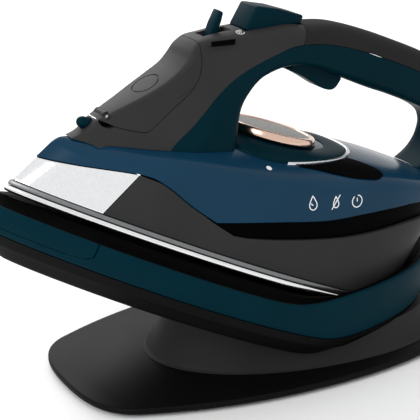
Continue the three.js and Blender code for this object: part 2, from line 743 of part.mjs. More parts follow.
function columnSolid(inset) {
  const at = (z, front, ridge, halfWidth, rear) =>
    columnRing(z, front + inset * 1.3, Math.max(1, ridge - inset), halfWidth - inset, rear - inset);
  return loft([
    at(20, 8, 3.5, 26, 134),
    at(34, 21.4, 4.5, 26, 130),
    at(44, 30.8, 5.8, 24.5, 124),
    at(49, 33.2, 6.7, 23.5, 121),
    at(55.5, 39, 8.3, 22, 117),
    at(62.3, 45.2, 10.2, 20.5, 113),
    at(70.4, 52.3, 12.4, 18.5, 110),
    at(78.6, 59, 13.5, 17, 109.6),
    at(87, 64.8, 13.5, 16.8, 111.4),
    at(93.5 - inset / 2, 67.5, 13.5, 16.6, 113.6),
    at(99.5 - inset, 68.6, 12.1, 16.4, 117),
  ]);
}

function handleSolid(inset) {
  const outline = [...HANDLE_OUTER, ...HANDLE_INNER];
  const bar = sidePrism(outline, HANDLE_HALF_WIDTH - inset, HANDLE_ROUND - inset, inset);
  const front = box(-10, 104, -40, 40, 0, 99.5 - inset);
  return bar.subtract(front).add(columnSolid(inset));
}

// The plinth's outline, grown outwards: a squared oval that reaches back behind the dial.
const PLINTH = { x: 140, front: 33, rear: 46.5, halfWidth: 36, power: 2.5 };

function plinthRing(grow, zOf) {
  const ring = [];
  const count = 36;
  for (let k = 0; k < count; k += 1) {
    const angle = (2 * Math.PI * k) / count;
    const cos = Math.cos(angle);
    const sin = Math.sin(angle);
    const reach = (cos > 0 ? PLINTH.rear : PLINTH.front) + grow;
    const x = PLINTH.x + reach * Math.sign(cos) * Math.abs(cos) ** (2 / PLINTH.power);
    const y = (PLINTH.halfWidth + grow) * Math.sign(sin) * Math.abs(sin) ** (2 / PLINTH.power);
    ring.push(new THREE.Vector3(x, y, zOf(x, y)));
  }
  return ring;
}

function plinthPrism(grow) {
  return loft([plinthRing(grow, () => 40), plinthRing(grow, () => 100)]);
}

// Its top rises steadily from the deck, at its outline, to the underside of the dial.
function plinthSolid() {
  const underDial = (x) => DIAL_AT.z - 5.8 + (x - DIAL_AT.x) * Math.tan(-DIAL_LEAN);
  const outline = plinthRing(0, (x, y) => deckHeight(x, y) + 0.6);
  const ring = (share, lift) =>
    outline.map((p) => {
      const away = Math.hypot(p.x - DIAL_AT.x, p.y);
      const scale = 1 - share + (share * (DIAL_RADIUS - 1)) / away;
      const x = DIAL_AT.x + (p.x - DIAL_AT.x) * scale;
      return new THREE.Vector3(x, p.y * scale, (1 - share) * p.z + share * underDial(x) + lift);
    });
  return loft([plinthRing(0, () => 45), outline, ring(0.06, 0.8), ring(0.5, 1), ring(1, 0)]);
}

// A cylinder on the dial's axis, between two depths under its face.
function onDialAxis(radius, deep, shallow, sides = 16) {
  const geometry = new THREE.CylinderGeometry(radius, radius, deep - shallow, sides);
  geometry.rotateX(Math.PI / 2);
  geometry.translate(0, 0, -(deep + shallow) / 2);
  geometry.rotateY(DIAL_LEAN);
  geometry.translate(DIAL_AT.x, 0, DIAL_AT.z);
  return solid(geometry);
}

const DOOR_OUTLINE = [
  [24, 49.6], [33, 49.6], [43, 49.2], [53.5, 50.8], [60, 54], [66.5, 66], [73.6, 78], [76.2, 86.5],
      [75, 94.5],
  [73, 99.5], [69.5, 108.5], [66, 113], [40, 116],
];

function doorRegion(grow) {
  const centre = [52, 80];
  return sidePrism(
    DOOR_OUTLINE.map(([x, z]) => {
      const away = Math.hypot(x - centre[0], z - centre[1]);
      const scale = (away + 1.3 * grow) / away;
      return [centre[0] + (x - centre[0]) * scale, centre[1] + (z - centre[1]) * scale];
    }),
  );
}

const LEVER_SLOT = { x0: 76, x1: 91.4, halfWidth: 4.6 };
const SPRAY_OPENING = { x0: 96, x1: 130.1, halfWidth: 9.4 };
const TRIGGER_OPENING = { x0: 133.8, x1: 172, halfWidth: 7.8 };
const WINDOW = [[75, 104], [89, 109.8], [88, 113.6], [74, 107.6]];

function buildHandle() {
  const deck = underDeck(GAP, -80);
  const outer = handleSolid(0).subtract(deck);
  const cavity = handleSolid(WALL);
  const seam = (shift) =>
    sidePrism([...SHELL_SEAM, [320, 20], [320, 250], [-20, 250],
        [-20, 20]].map(([x, z]) => [x, z + shift]));
  const coverRegion = seam(0);
  const shell = outer.subtract(cavity);

  const leverSlot = box(LEVER_SLOT.x0, LEVER_SLOT.x1, -LEVER_SLOT.halfWidth, LEVER_SLOT.halfWidth, 99, 130);
  const sprayHole = box(SPRAY_OPENING.x0, SPRAY_OPENING.x1, -SPRAY_OPENING.halfWidth,
      SPRAY_OPENING.halfWidth, 114, 150);
  const windows = sidePrism(WINDOW, 60).subtract(box(0, 200, -16.1, 16.1, 0, 200));
  const nozzleHole = nozzleSpace(3.4);
  const hingeNotch = across(DOOR_HINGE.x, DOOR_HINGE.z, 40, 5.6, 12);

  const cover = shell
    .intersect(coverRegion)
    .intersect(box(0, GRIP_SPLIT, -40, 40, 0, 200))
    .subtract(doorRegion(GAP))
    .subtract(leverSlot)
    .subtract(sprayHole)
    .subtract(windows)
    .subtract(nozzleHole)
    .subtract(hingeNotch);
  iron.add(mesh("front_cover", cover, charcoal()));

  const grip = shell
    .intersect(coverRegion)
    .intersect(box(GRIP_SPLIT + GAP, 300, -40, 40, 0, 200));
  iron.add(mesh("handle_grip", grip, softGrip()));

  const triggerHole = box(TRIGGER_OPENING.x0, TRIGGER_OPENING.x1, -TRIGGER_OPENING.halfWidth,
      TRIGGER_OPENING.halfWidth, 100, 119);
  const plinthShell = plinthSolid().subtract(deck);
  const inner = shell
    .subtract(seam(-GAP))
    .subtract(coverRegion)
    .subtract(triggerHole)
    .add(plinthShell.subtract(handleSolid(WALL / 2)))
    .subtract(onDialAxis(DIAL_RADIUS + 1, 6, -8, 32))
    .subtract(onDialAxis(4.4, 30, -8));
  iron.add(mesh("handle_inner_shell", inner, teal()));
}

const NOZZLE = { x: 30.2, z: 45.2, dip: 0.15 };

function nozzleSpace(radius) {
  const geometry = new THREE.CylinderGeometry(radius, radius, 22, 16);
  geometry.rotateZ(Math.PI / 2);
  geometry.rotateY(-NOZZLE.dip);
  geometry.translate(NOZZLE.x, 0, NOZZLE.z);
  return solid(geometry);
}

// The hinged filler door, and the funnel under it that leads down into the tank.
function buildDoor() {
  const skin = handleSolid(0).subtract(handleSolid(WALL)).subtract(underDeck(GAP, -80));
  const knuckle = across(DOOR_HINGE.x, DOOR_HINGE.z, 5, 2.4, 12);
  const door = skin
    .intersect(doorRegion(0))
    .subtract(nozzleSpace(3.4))
    .add(knuckle)
    .subtract(across(DOOR_HINGE.x, DOOR_HINGE.z, 40, 1.3, 10));
  iron.add(mesh("filler_door", door, charcoal()));
  iron.add(mesh("filler_door_pin", across(DOOR_HINGE.x, DOOR_HINGE.z, 6.4, 1, 10), steel()));

  const lining = handleSolid(FUNNEL_INSET)
    .subtract(handleSolid(FUNNEL_INSET + 1.6))
    .intersect(doorRegion(2.4))
    .intersect(box(0, 90, -40, 40, 0, 94))
    .subtract(across(DOOR_HINGE.x, DOOR_HINGE.z, 40, 6, 12))
    .subtract(nozzleSpace(4.2));
  const throat = upright(FILLER.x, 0, 38.6, 100, FILLER.radius,
      16).intersect(handleSolid(FUNNEL_INSET + 0.4));
  const funnel = lining.add(throat).subtract(upright(FILLER.x, 0, 30, 120, FILLER.radius - 1.5, 16));
  iron.add(mesh("filler_funnel", funnel, black()));

  const nozzle = mesh(
    "spray_nozzle",
    turned(0, 0, [[0, -6], [2.2, -6], [3, -4.6], [3, 0.6], [2.6, 2], [1.7, 2.9], [0.7, 3.2],
        [0.7, 1.8], [0, 1.8]], 20),
    teal(),
  );
  nozzle.position.set(NOZZLE.x - 1.2, 0, NOZZLE.z);
  nozzle.rotation.y = -Math.PI / 2 - NOZZLE.dip;
  iron.add(nozzle);
}

function buildSteamLever() {
  const tab = sidePrism([[80.6, 110], [84.4, 110], [84.2, 118.6], [83.4, 123.6], [80.8, 124],
      [80.2, 116]], 3.6);
  const arm = sidePrism([[83.4, 103], [88.6, 103], [84.4, 112], [80.6, 111]], 2.2);
  const hub = across(LEVER_PIVOT.x, LEVER_PIVOT.z, 9, 3.6, 14);
  iron.add(mesh("steam_lever", tab.add(arm).add(hub), teal()));
  const rod = turned(VALVE_X, 0, [[0, 10.4], [0.7, 10.4], [1.4, 12.4], [1.4, 94], [3, 94], [3, 96],
      [0, 96]], 12);
  iron.add(mesh("valve_rod", rod, black()));
}

const SPRAY_WEDGE = [
  [96.6, 119], [98.4, 133.2], [112, 136.2], [129, 138], [129, 133.4],
  [122, 129.6], [115, 125.4], [108.4, 121.2], [103, 119],
];

function buildSpray() {
  iron.add(mesh("spray_button", sidePrism(SPRAY_WEDGE, 9, 1.6), teal()));
  const piston = turned(SPRAY_STEM_X, 0, [[0, 106], [3.1, 106], [3.1, 109], [1.6, 109.4],
      [1.6, 117.6], [0, 117.6]], 14);
  iron.add(mesh("spray_piston", piston, steel()));
  const profile = [[0, 99], [6, 99], [6, 113.6], [3.5, 113.6], [3.5, 102], [0, 102]];
  iron.add(mesh("spray_pump", turned(SPRAY_STEM_X, 0, profile, 16), black()));
}

const TRIGGER_BLADE = [
  [137.6, 118.6], [135.8, 114], [134.6, 107.4], [142, 107.2], [149.5, 106.4], [157, 105.2], [162, 104.7],
  [166.6, 105.5], [169.2, 107.9], [170.6, 113], [168, 117.4], [150, 117.8], [143, 120.4], [139, 120.8],
];
const SHOT_X = 154;

function buildTrigger() {
  const pivot = (halfLength, radius) => across(TRIGGER_PIVOT.x, TRIGGER_PIVOT.z, halfLength, radius, 12);
  const blade = sidePrism(TRIGGER_BLADE, 7.2, 1.8).subtract(pivot(20, 1.4));
  iron.add(mesh("steam_trigger", blade, teal()));
  iron.add(mesh("trigger_pin", pivot(12, 1.1), steel()));
  const piston = turned(SHOT_X, 0, [[0, 118.6], [3.9, 118.6], [3.9, 127], [0, 127]], 14);
  iron.add(mesh("shot_piston", piston, black()));
  const profile = [[4.3, 124], [7.5, 124], [7.5, 135.4], [0, 135.4], [0, 132.6], [4.3, 132.6], [4.3, 124]];
  iron.add(mesh("shot_pump", turned(SHOT_X, 0, profile, 16), black()));
}

function buildDial() {
  const dial = new THREE.Group();
  dial.position.set(DIAL_AT.x, 0, DIAL_AT.z);
  dial.rotation.y = DIAL_LEAN;
  const r = DIAL_RADIUS;
  const rim = [[r - 3.6, -5], [r, -5], [r + 0.4, -3.8], [r, -0.8], [r - 1, 0], [r - 3.2, 0],
      [r - 3.6, -0.4], [r - 3.6, -5]];
  dial.add(mesh("dial_rim", turned(0, 0, rim, 32), copper()));
  const face = [[0, -2.6], [r - 4, -2.6], [r - 4, -0.6], [r - 5, -0.3], [0, -0.3]];
  dial.add(mesh("dial_face", turned(0, 0, face, 28), greyMetal()));
  const shaft = [[0, -54], [3, -54], [3, -5], [r - 4, -5], [r - 4, -2.9], [0, -2.9]];
  dial.add(mesh("dial_shaft", turned(0, 0, shaft, 16), black()));
  iron.add(dial);
}

// One of the two black inlays beside the plinth, seen from above.
const INLAY = [
  [120, 33.2], [128, 33], [140, 33], [152, 33], [165, 31], [176, 30], [183, 33], [189, 37.5], [192, 42],
  [191.6, 46.2], [187, 48.8], [178, 48.6], [169, 47.2], [158, 44.4], [147, 40.6], [136, 37.6], [127, 35.2],
];

function buildDeckTrim() {
  const layer = (low, high) => underDeck(high).subtract(underDeck(low, -30));
  const keepOff = handleSolid(-0.4);
  const keepClear = onDialAxis(DIAL_RADIUS + 0.7, 9, -9, 32);
  const lip = layer(GAP, 1.7)
    .intersect(plinthPrism(2.4))
    .subtract(plinthPrism(0.4))
    .intersect(box(134, 300, -60, 60, 0, 200))
    .subtract(keepOff)
    .subtract(keepClear);
  iron.add(mesh("deck_lip", lip, silver()));
  for (const [name, side] of [["deck_inlay_left", -1], ["deck_inlay_right", 1]]) {
    const outline = INLAY.map(([x, y]) => new THREE.Vector2(x, side * y));
    const inlay = planPrism(new THREE.Shape(outline), 50, 95).intersect(layer(GAP, 1.2));
    iron.add(mesh(name, inlay.subtract(plinthPrism(2.8)).subtract(keepOff), glossBlack()));
  }
}

function buildElectrics() {
  const pane = sidePrism(
    [[75.5, 104.7], [88.5, 110.1], [87.7, 113.1], [74.5, 107.3]],
    16.9,
  ).intersect(box(0, 200, -30, -16.4, 0, 200));
  iron.add(mesh("indicator_window", pane, glossBlack()));

  const plates = CONTACTS.map((y) => box(236, 260, y - 2.6, y + 2.6, 21.4, 28.6));
  const room = CONTACTS.map((y) => box(235, 260, y - 2.9, y + 2.9, 21.1, 28.9));
  let block = box(239, 262, -14, 14, 19, 31).intersect(bodyStack(10, 40, 0.9));
  for (const space of room) {
    block = block.subtract(space);
  }
  iron.add(mesh("contact_block", block, black()));
  plates.forEach((plate, i) => {
    iron.add(mesh(`contact_plate_${i + 1}`, plate.intersect(bodyStack(10, 40, 0.6)), brass()));
  });
  iron.add(mesh("control_board", box(256.4, 258, -9, 9, 91, 105), circuitGreen()));
}

buildTray();
buildLiner();
buildContacts();
buildBase();
buildSole();
buildHeater();
buildSkirt();
buildTank();
buildHandle();
buildDoor();
buildSteamLever();
buildSpray();
buildTrigger();
buildDial();
buildDeckTrim();
buildElectrics();

const part = new THREE.Group();
part.add(dock);
part.add(iron);
export default part;
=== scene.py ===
"""A cordless steam iron parked nose-up on its charging dock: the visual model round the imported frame."""
import json
import math

import bmesh
import bpy
import numpy as np
from mathutils import Matrix, Vector
from mathutils.bvhtree import BVHTree

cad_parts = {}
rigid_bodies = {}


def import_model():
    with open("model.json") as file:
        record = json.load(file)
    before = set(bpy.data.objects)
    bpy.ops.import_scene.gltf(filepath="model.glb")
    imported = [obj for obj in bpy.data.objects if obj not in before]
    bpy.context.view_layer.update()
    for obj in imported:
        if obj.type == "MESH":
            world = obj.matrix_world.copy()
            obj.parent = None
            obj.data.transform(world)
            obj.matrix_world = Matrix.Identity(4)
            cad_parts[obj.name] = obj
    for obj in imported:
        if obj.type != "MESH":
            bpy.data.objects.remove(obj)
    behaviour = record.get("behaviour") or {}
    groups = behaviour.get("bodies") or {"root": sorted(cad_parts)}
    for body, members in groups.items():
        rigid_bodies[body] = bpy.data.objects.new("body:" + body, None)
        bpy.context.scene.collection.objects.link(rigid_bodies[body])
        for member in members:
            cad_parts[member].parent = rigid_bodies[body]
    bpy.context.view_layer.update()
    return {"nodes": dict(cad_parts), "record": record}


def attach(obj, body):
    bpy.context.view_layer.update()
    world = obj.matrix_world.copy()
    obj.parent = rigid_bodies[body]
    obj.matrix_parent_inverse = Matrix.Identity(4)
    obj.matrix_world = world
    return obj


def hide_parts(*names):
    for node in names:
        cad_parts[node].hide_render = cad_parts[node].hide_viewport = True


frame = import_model()

# ---- dimensions, in millimetres, as in the CAD model ------------------------------------------------
GAP = 0.3
WALL = 2.4
PITCH = math.radians(24.5)
COS, SIN = math.cos(PITCH), math.sin(PITCH)
NOSE_X, NOSE_Z = -137.2, 121.5
BASE_SHIFT = NOSE_X + 52.35
SHIELD_TOP = 6.3
DIAL_AT = (141.0, 74.8)
DIAL_LEAN = math.radians(-6.5)
DIAL_RADIUS = 26.5


# ---- materials --------------------------------------------------------------------------------------
def new_material(name):
    mat = bpy.data.materials.new(name)
    mat.use_nodes = True
    return mat, mat.node_tree.nodes, mat.node_tree.links, mat.node_tree.nodes["Principled BSDF"]


def coordinates(nodes, links, scale, stretch=(1, 1, 1)):
    coord = nodes.new("ShaderNodeTexCoord")
    mapping = nodes.new("ShaderNodeMapping")
    mapping.inputs["Scale"].default_value = [scale * s for s in stretch]
    links.new(coord.outputs["Object"], mapping.inputs["Vector"])
    return mapping.outputs["Vector"]


def noise(nodes, links, vector, scale, detail=3.0):
    node = nodes.new("ShaderNodeTexNoise")
    node.inputs["Scale"].default_value = scale
    node.inputs["Detail"].default_value = detail
    links.new(vector, node.inputs["Vector"])
    return node.outputs["Fac"]


def ramp(nodes, links, fac, stops):
    node = nodes.new("ShaderNodeValToRGB")
    elements = node.color_ramp.elements
    while len(elements) < len(stops):
        elements.new(0.5)
    for element, (place, colour) in zip(elements, stops):
        element.position = place
        element.color = (*colour, 1)
    links.new(fac, node.inputs["Fac"])
    return node.outputs["Color"]


def spread(nodes, links, fac, low, high):
    node = nodes.new("ShaderNodeMapRange")
    node.inputs["From Min"].default_value = 0.25
    node.inputs["From Max"].default_value = 0.75
    node.inputs["To Min"].default_value = low
    node.inputs["To Max"].default_value = high
    links.new(fac, node.inputs["Value"])
    return node.outputs["Result"]


def moulded(name, colour, rough, grain=0.0, grain_size=0.35, coat=0.0, vary=0.12, specular=0.5):
    """Moulded plastic: a fine erosion grain, faint flow clouds and slightly uneven gloss."""
    mat, nodes, links, bsdf = new_material(name)
    vector = coordinates(nodes, links, 1000)
    cloud = noise(nodes, links, vector, 0.02, 4)
    fine = noise(nodes, links, vector, 1 / grain_size, 2)
    dark = [c * (1 - vary) for c in colour]
    light = [min(1, c * (1 + vary)) for c in colour]
    links.new(ramp(nodes, links, cloud, [(0.3, dark), (0.7, light)]), bsdf.inputs["Base Color"])
    links.new(spread(nodes, links, cloud, rough * 0.93, min(1, rough * 1.07)), bsdf.inputs["Roughness"])
    bsdf.inputs["Specular IOR Level"].default_value = specular
    bsdf.inputs["Coat Weight"].default_value = coat
    bsdf.inputs["Coat Roughness"].default_value = 0.08
    if grain > 0:
        bump = nodes.new("ShaderNodeBump")
        bump.inputs["Strength"].default_value = grain
        bump.inputs["Distance"].default_value = 0.00012
        links.new(fine, bump.inputs["Height"])
        links.new(bump.outputs["Normal"], bsdf.inputs["Normal"])
    return mat


def plated(name, colour, rough, stretch=(1, 1, 1), brush=0.0, vary=0.05):
    """Metal or plating, with faint wipe marks or a brushed grain."""
    mat, nodes, links, bsdf = new_material(name)
    vector = coordinates(nodes, links, 1000, stretch)
    marks = noise(nodes, links, vector, 0.6, 4)
    dark = [c * (1 - vary) for c in colour]
    links.new(ramp(nodes, links, marks, [(0.35, dark), (0.65, colour)]), bsdf.inputs["Base Color"])
    links.new(spread(nodes, links, marks, rough * 0.8, rough * 1.25), bsdf.inputs["Roughness"])
    bsdf.inputs["Metallic"].default_value = 1.0
    if brush > 0:
        bump = nodes.new("ShaderNodeBump")
        bump.inputs["Strength"].default_value = brush
        bump.inputs["Distance"].default_value = 0.00005
        links.new(marks, bump.inputs["Height"])
        links.new(bump.outputs["Normal"], bsdf.inputs["Normal"])
    return mat


CHARCOAL = moulded("charcoal_moulding", (0.022, 0.022, 0.0225), 0.5, grain=0.3, specular=0.11)
PEDESTAL = moulded("pedestal_moulding", (0.018, 0.018, 0.0185), 0.55, grain=0.3, specular=0.08)
BLACK = moulded("black_moulding", (0.003, 0.003, 0.0032), 0.45, grain=0.3, specular=0.05)
PLATE = moulded("base_moulding", (0.003, 0.003, 0.0032), 0.45, grain=0.3, grain_size=0.5, specular=0.06)
GLOSS = moulded("gloss_black", (0.0006, 0.0006, 0.0007), 0.45, specular=0.015)
GRIP = moulded("soft_grip", (0.015, 0.015, 0.015), 0.75, grain=0.9, grain_size=0.55, specular=0.08)
TEAL = moulded("teal_moulding", (0.0003, 0.0135, 0.0205), 0.4, grain=0.12, grain_size=0.3, specular=0.03)
BAND = moulded("teal_band", (0.0003, 0.0165, 0.0255), 0.45, grain=0.25, grain_size=0.3, specular=0.025)
TANK = moulded("tank_blue", (0.0035, 0.030, 0.062), 0.22, specular=0.13, vary=0.08)
RUBBER = moulded("black_rubber", (0.012, 0.012, 0.012), 0.85, grain=0.6)
BOARD = moulded("board_green", (0.02, 0.11, 0.05), 0.4, grain=0.5, grain_size=1.2)
PRINT = moulded("white_print", (0.75, 0.77, 0.78), 0.5, vary=0.03)
CHROME = plated("mirror_chrome", (0.86, 0.87, 0.88), 0.07)
SOLE = plated("polished_sole", (0.80, 0.80, 0.81), 0.12, stretch=(0.15, 1, 1), brush=0.1)
STEEL = plated("plain_steel", (0.55, 0.56, 0.58), 0.3, brush=0.2)
GREY = plated("shield_grey", (0.20, 0.205, 0.21), 0.35)
COPPER = plated("rose_gold", (0.72, 0.50, 0.40), 0.17)
DIAL_GREY = plated("dial_grey", (0.17, 0.165, 0.155), 0.4, brush=0.15)
SILVER = plated("silver_lip", (0.66, 0.68, 0.70), 0.25)
CAST = plated("cast_aluminium", (0.5, 0.5, 0.51), 0.5, brush=0.8)
BRASS = plated("contact_brass", (0.72, 0.52, 0.22), 0.25)


# ---- meshes -----------------------------------------------------------------------------------------
def placed(points, space):
    """Millimetres in the iron's or the dock's own frame to metres in the row's."""
    p = np.asarray(points, float).reshape(-1, 3)
    if space == "iron":
        x = NOSE_X + p[:, 0] * COS + p[:, 2] * SIN
        z = NOSE_Z - p[:, 0] * SIN + p[:, 2] * COS
        p = np.stack([x, p[:, 1], z], 1)
    else:
        p = p + (BASE_SHIFT, 0, 0)
    return p / 1000


def raw(points, faces, space="iron", name="tool"):
    mesh = bpy.data.meshes.new(name)
    mesh.from_pydata([tuple(v) for v in placed(points, space)], [], faces)
    bm = bmesh.new()
    bm.from_mesh(mesh)
    bmesh.ops.remove_doubles(bm, verts=bm.verts, dist=2e-6)
    bmesh.ops.dissolve_degenerate(bm, dist=1e-6, edges=bm.edges)
    bmesh.ops.recalc_face_normals(bm, faces=bm.faces)
    bm.to_mesh(mesh)
    bm.free()
    obj = bpy.data.objects.new(name, mesh)
    bpy.context.scene.collection.objects.link(obj)
    return obj


def applied(obj):
    """The object's modifiers, made part of its mesh."""
    graph = bpy.context.evaluated_depsgraph_get()
    mesh = bpy.data.meshes.new_from_object(obj.evaluated_get(graph))
    obj.modifiers.clear()
    obj.data = mesh
    return obj


def combine(obj, operation, *tools):
    for tool in tools:
        mod = obj.modifiers.new("cut", "BOOLEAN")
        mod.operation = operation
        mod.solver = "MANIFOLD"
        mod.object = tool
        applied(obj)
    return obj


def copy_of(obj):
    twin = obj.copy()
    twin.data = obj.data.copy()
    bpy.context.scene.collection.objects.link(twin)
    return twin


def piece(obj, name, body, material, nodes=(), sharp=32):
    obj.name = name
    obj.data.name = name
    obj.data.materials.clear()
    obj.data.materials.append(material)
    for polygon in obj.data.polygons:
        polygon.use_smooth = True
    obj.data.set_sharp_from_angle(angle=math.radians(sharp))
    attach(obj, body)
    if nodes:
        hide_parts(*nodes)
    return obj


def bevelled(obj, width, segments=3, angle=35):
    mod = obj.modifiers.new("bevel", "BEVEL")
    mod.width = width / 1000
    mod.segments = segments
    mod.limit_method = "ANGLE"
    mod.angle_limit = math.radians(angle)
    return applied(obj)


def grid_faces(rows, columns, wrap_rows=False, wrap_columns=False):
    faces = []
    for r in range(rows if wrap_rows else rows - 1):
        for c in range(columns if wrap_columns else columns - 1):
            r2, c2 = (r + 1) % rows, (c + 1) % columns
            faces.append((r * columns + c, r * columns + c2, r2 * columns + c2, r2 * columns + c))
    return faces


def loft(rings, space="iron", looped=False, capped=True):
    """A skin over rings of equal point count, closed by a face at each end."""
    points = np.concatenate([np.asarray(r, float) for r in rings])
    count = len(rings[0])
    faces = grid_faces(len(rings), count, looped, True)
    if not looped and capped:
        faces.append(tuple(range(count))[::-1])
        faces.append(tuple((len(rings) - 1) * count + i for i in range(count)))
    return raw(points, faces, space)


def normals_of(grid, wrap=False):
    """Unit normals of a grid of points, by central differences."""
    if wrap:
        du = np.roll(grid, -1, 0) - np.roll(grid, 1, 0)
    else:
        du = np.gradient(grid, axis=0)
    dv = np.gradient(grid, axis=1)
    n = np.cross(du, dv)
    length = np.linalg.norm(n, axis=2, keepdims=True)
    return n / np.maximum(length, 1e-9)


def slab(grid, thick, lip=0.5, outward=1, wrap=False, space="iron"):
    """A sheet of the given thickness under a grid of points, its free edges rolled over."""
    grid = np.asarray(grid, float)
    n = normals_of(grid, wrap)
    middle = grid.reshape(-1, 3).mean(0)
    if outward is None:
        outward = 1 if np.sum(n * (grid - middle)) > 0 else -1
    n = n * outward
    steps = [(0.0, thick), (0.0, lip), (0.3 * lip, 0.3 * lip), (lip, 0.0)]

    def rolled(g, nrm, depth):
        first, last = g[:, :1], g[:, -1:]
        def toward(edge, other, distance):
            gap = np.linalg.norm(other - edge, axis=2, keepdims=True)
            return edge + (other - edge) * np.minimum(0.9, distance / np.maximum(gap, 1e-9))
        head = [(toward(first, g[:, 1:2], t), nrm[:, :1], np.maximum(depth[:, :1], d)) for t, d in steps]
        tail = [(toward(last, g[:, -2:-1], t), nrm[:, -1:], np.maximum(depth[:, -1:], d)) for t,
            d in steps[::-1]]
        body = [(g[:, 1:-1], nrm[:, 1:-1], depth[:, 1:-1])]
        every = head + body + tail
        return tuple(np.concatenate([e[i] for e in every], 1) for i in range(3))

    depth = np.zeros(grid.shape[:2] + (1,))
    g, nrm, depth = rolled(grid, n, depth)
    if not wrap:
        swap = [a.transpose(1, 0, 2) for a in (g, nrm, depth)]
        g, nrm, depth = (a.transpose(1, 0, 2) for a in rolled(*swap))
    front = g - nrm * depth
    back = g - nrm * thick
    rows, columns = front.shape[:2]
    faces = grid_faces(rows, columns, wrap)
    shift = rows * columns
    faces += [tuple(shift + i for i in f[::-1]) for f in grid_faces(rows, columns, wrap)]
    points = np.concatenate([front.reshape(-1, 3), back.reshape(-1, 3)])
    return raw(points, faces, space)


def spline(points, samples):
    """A Catmull-Rom curve through points, as samples + 1 points."""
    p = np.asarray(points, float)
    ext = np.concatenate([[2 * p[0] - p[1]], p, [2 * p[-1] - p[-2]]])
    out = []
    for u in np.linspace(0, len(p) - 1, samples + 1):
        i = min(int(u), len(p) - 2)
        t = u - i
        a, b, c, d = ext[i : i + 4]
        out.append(0.5 * (2 * b + (c - a) * t + (2 * a - 5 * b + 4 * c - d) * t * t
                          + (3 * b - a - 3 * c + d) * t**3))
    return np.array(out)


def prism(outline, half_width, space="iron", y0=None):
    """A side-view outline drawn out across Y."""
    o = np.asarray(outline, float)
    low = -half_width if y0 is None else y0
    rings = [np.stack([o[:, 0], np.full(len(o), y), o[:, 1]], 1) for y in (low, half_width)]
    return loft(rings, space)


def block(x0, x1, y0, y1, z0, z1, space="iron"):
    return prism([(x0, z0), (x1, z0), (x1, z1), (x0, z1)], y1, space, y0)


def lathe(profile, matrix, sides=96, space="iron"):
    """A turned solid: profile is (radius, height) pairs, matrix puts its axis in place."""
    angles = np.linspace(0, 2 * math.pi, sides, endpoint=False)
    points = []
    for r, h in profile:
        for a in angles:
            points.append(matrix @ Vector((r * math.cos(a), r * math.sin(a), h)))
    faces = grid_faces(len(profile), sides, False, True)
    return raw([tuple(p) for p in points], faces, space)


def heights(points):
    p = np.asarray(points, float)
    return lambda x: np.interp(x, p[:, 0], p[:, 1])


# ---- outlines ---------------------------------------------------------------------------------------
def half_width(x, leaf):
    tip, full, taper, heel, half, blunt, power = leaf
    nose = np.sin(np.clip((x - tip) / (full - tip), 0, 1) * math.pi / 2) ** blunt
    tail = np.clip(1 - np.clip((x - taper) / (heel - taper), 0, 1) ** power, 0, 1) ** (1 / power)
    return half * nose * tail


def side_of(leaf, count=150):
    """Points from the nose round one side to the middle of the heel, evenly spaced but closer at the nose."""
    tip, heel = leaf[0], leaf[3]
    x = tip + (heel - tip) * (1 - np.cos(np.linspace(0, math.pi, 4000))) / 2
    y = half_width(x, leaf)
    run = np.concatenate([[0], np.cumsum(np.hypot(np.diff(x), np.diff(y)))])
    share = np.linspace(0, 1, count + 1)
    at = run[-1] * (0.75 * share + 0.25 * share**2)
    return np.stack([np.interp(at, run, x), np.interp(at, run, y)], 1)


def sole_leaf(inset):
    return (inset * 1.6, 170, 165, 238 - inset, 59 - inset, 0.8, 3.2)


def body_leaf(z, inset=0.0):
    heel = 239 + 17 * math.sin(min(1, max(0, z / 75)) * math.pi / 2) - inset
    return (0.56 * z - 1 + inset * 1.6, 170, 165, heel, 58.4 - 0.1 * z - inset, 0.8 - 0.0024 * z, 3.2)


def tray_leaf(inset):
    return (-69.4 + inset, 81.7, 65, 208 - inset, 73 - inset, 0.75, 2.4)


def ring_of(side, z_of):
    """A closed ring from one side's points."""
    x = np.concatenate([side[:, 0], side[-2:0:-1, 0]])
    y = np.concatenate([-side[:, 1], side[-2:0:-1, 1]])
    return np.stack([x, y, z_of(x) + 0 * x], 1)


def flat(z):
    return lambda x: np.full_like(x, z)


TANK_LOWER = heights(
    np.concatenate([
        spline([(-10, 18), (11, 21.4), (27, 24.8), (56.6, 31.6), (69.5, 30.6), (84, 25.2), (99, 21.1)], 60),
        spline([(115.5, 26.4), (133, 31.9), (162, 40.6), (189, 51.5), (218, 63), (240, 68.5), (275, 70)],
            60),
    ])
)
SKIRT_TOP = heights(
    np.concatenate([
        spline([(55.8, 31.2), (69.5, 30.6), (84, 25.2), (99, 20.4), (110, 17.6)], 50),
        spline([(118, 18.6), (136, 22.9), (160, 29.5), (178, 35), (197, 42.4), (223, 53.4), (245, 60),
            (275, 62)], 60),
    ])
)
DECK_CENTRE = heights(spline([(-20, 30.5), (17, 34.5), (41, 40), (60, 45), (84, 53), (115, 62), (140, 68),
    (165, 74), (214, 80), (280, 80)], 120))
DECK_EDGE = heights(spline([(-20, 29.5), (17, 33.5), (41, 38.5), (60, 42.3), (84, 47), (127, 52.6),
    (164, 61.3), (214, 74), (280, 76)], 120))


def deck_height(x, y):
    centre, edge = DECK_CENTRE(x), DECK_EDGE(x)
    reach = np.maximum(8, half_width(np.minimum(x, 215), body_leaf(60)))
    return centre - (centre - edge) * np.minimum(1.6, np.abs(y) / reach) ** 2.4


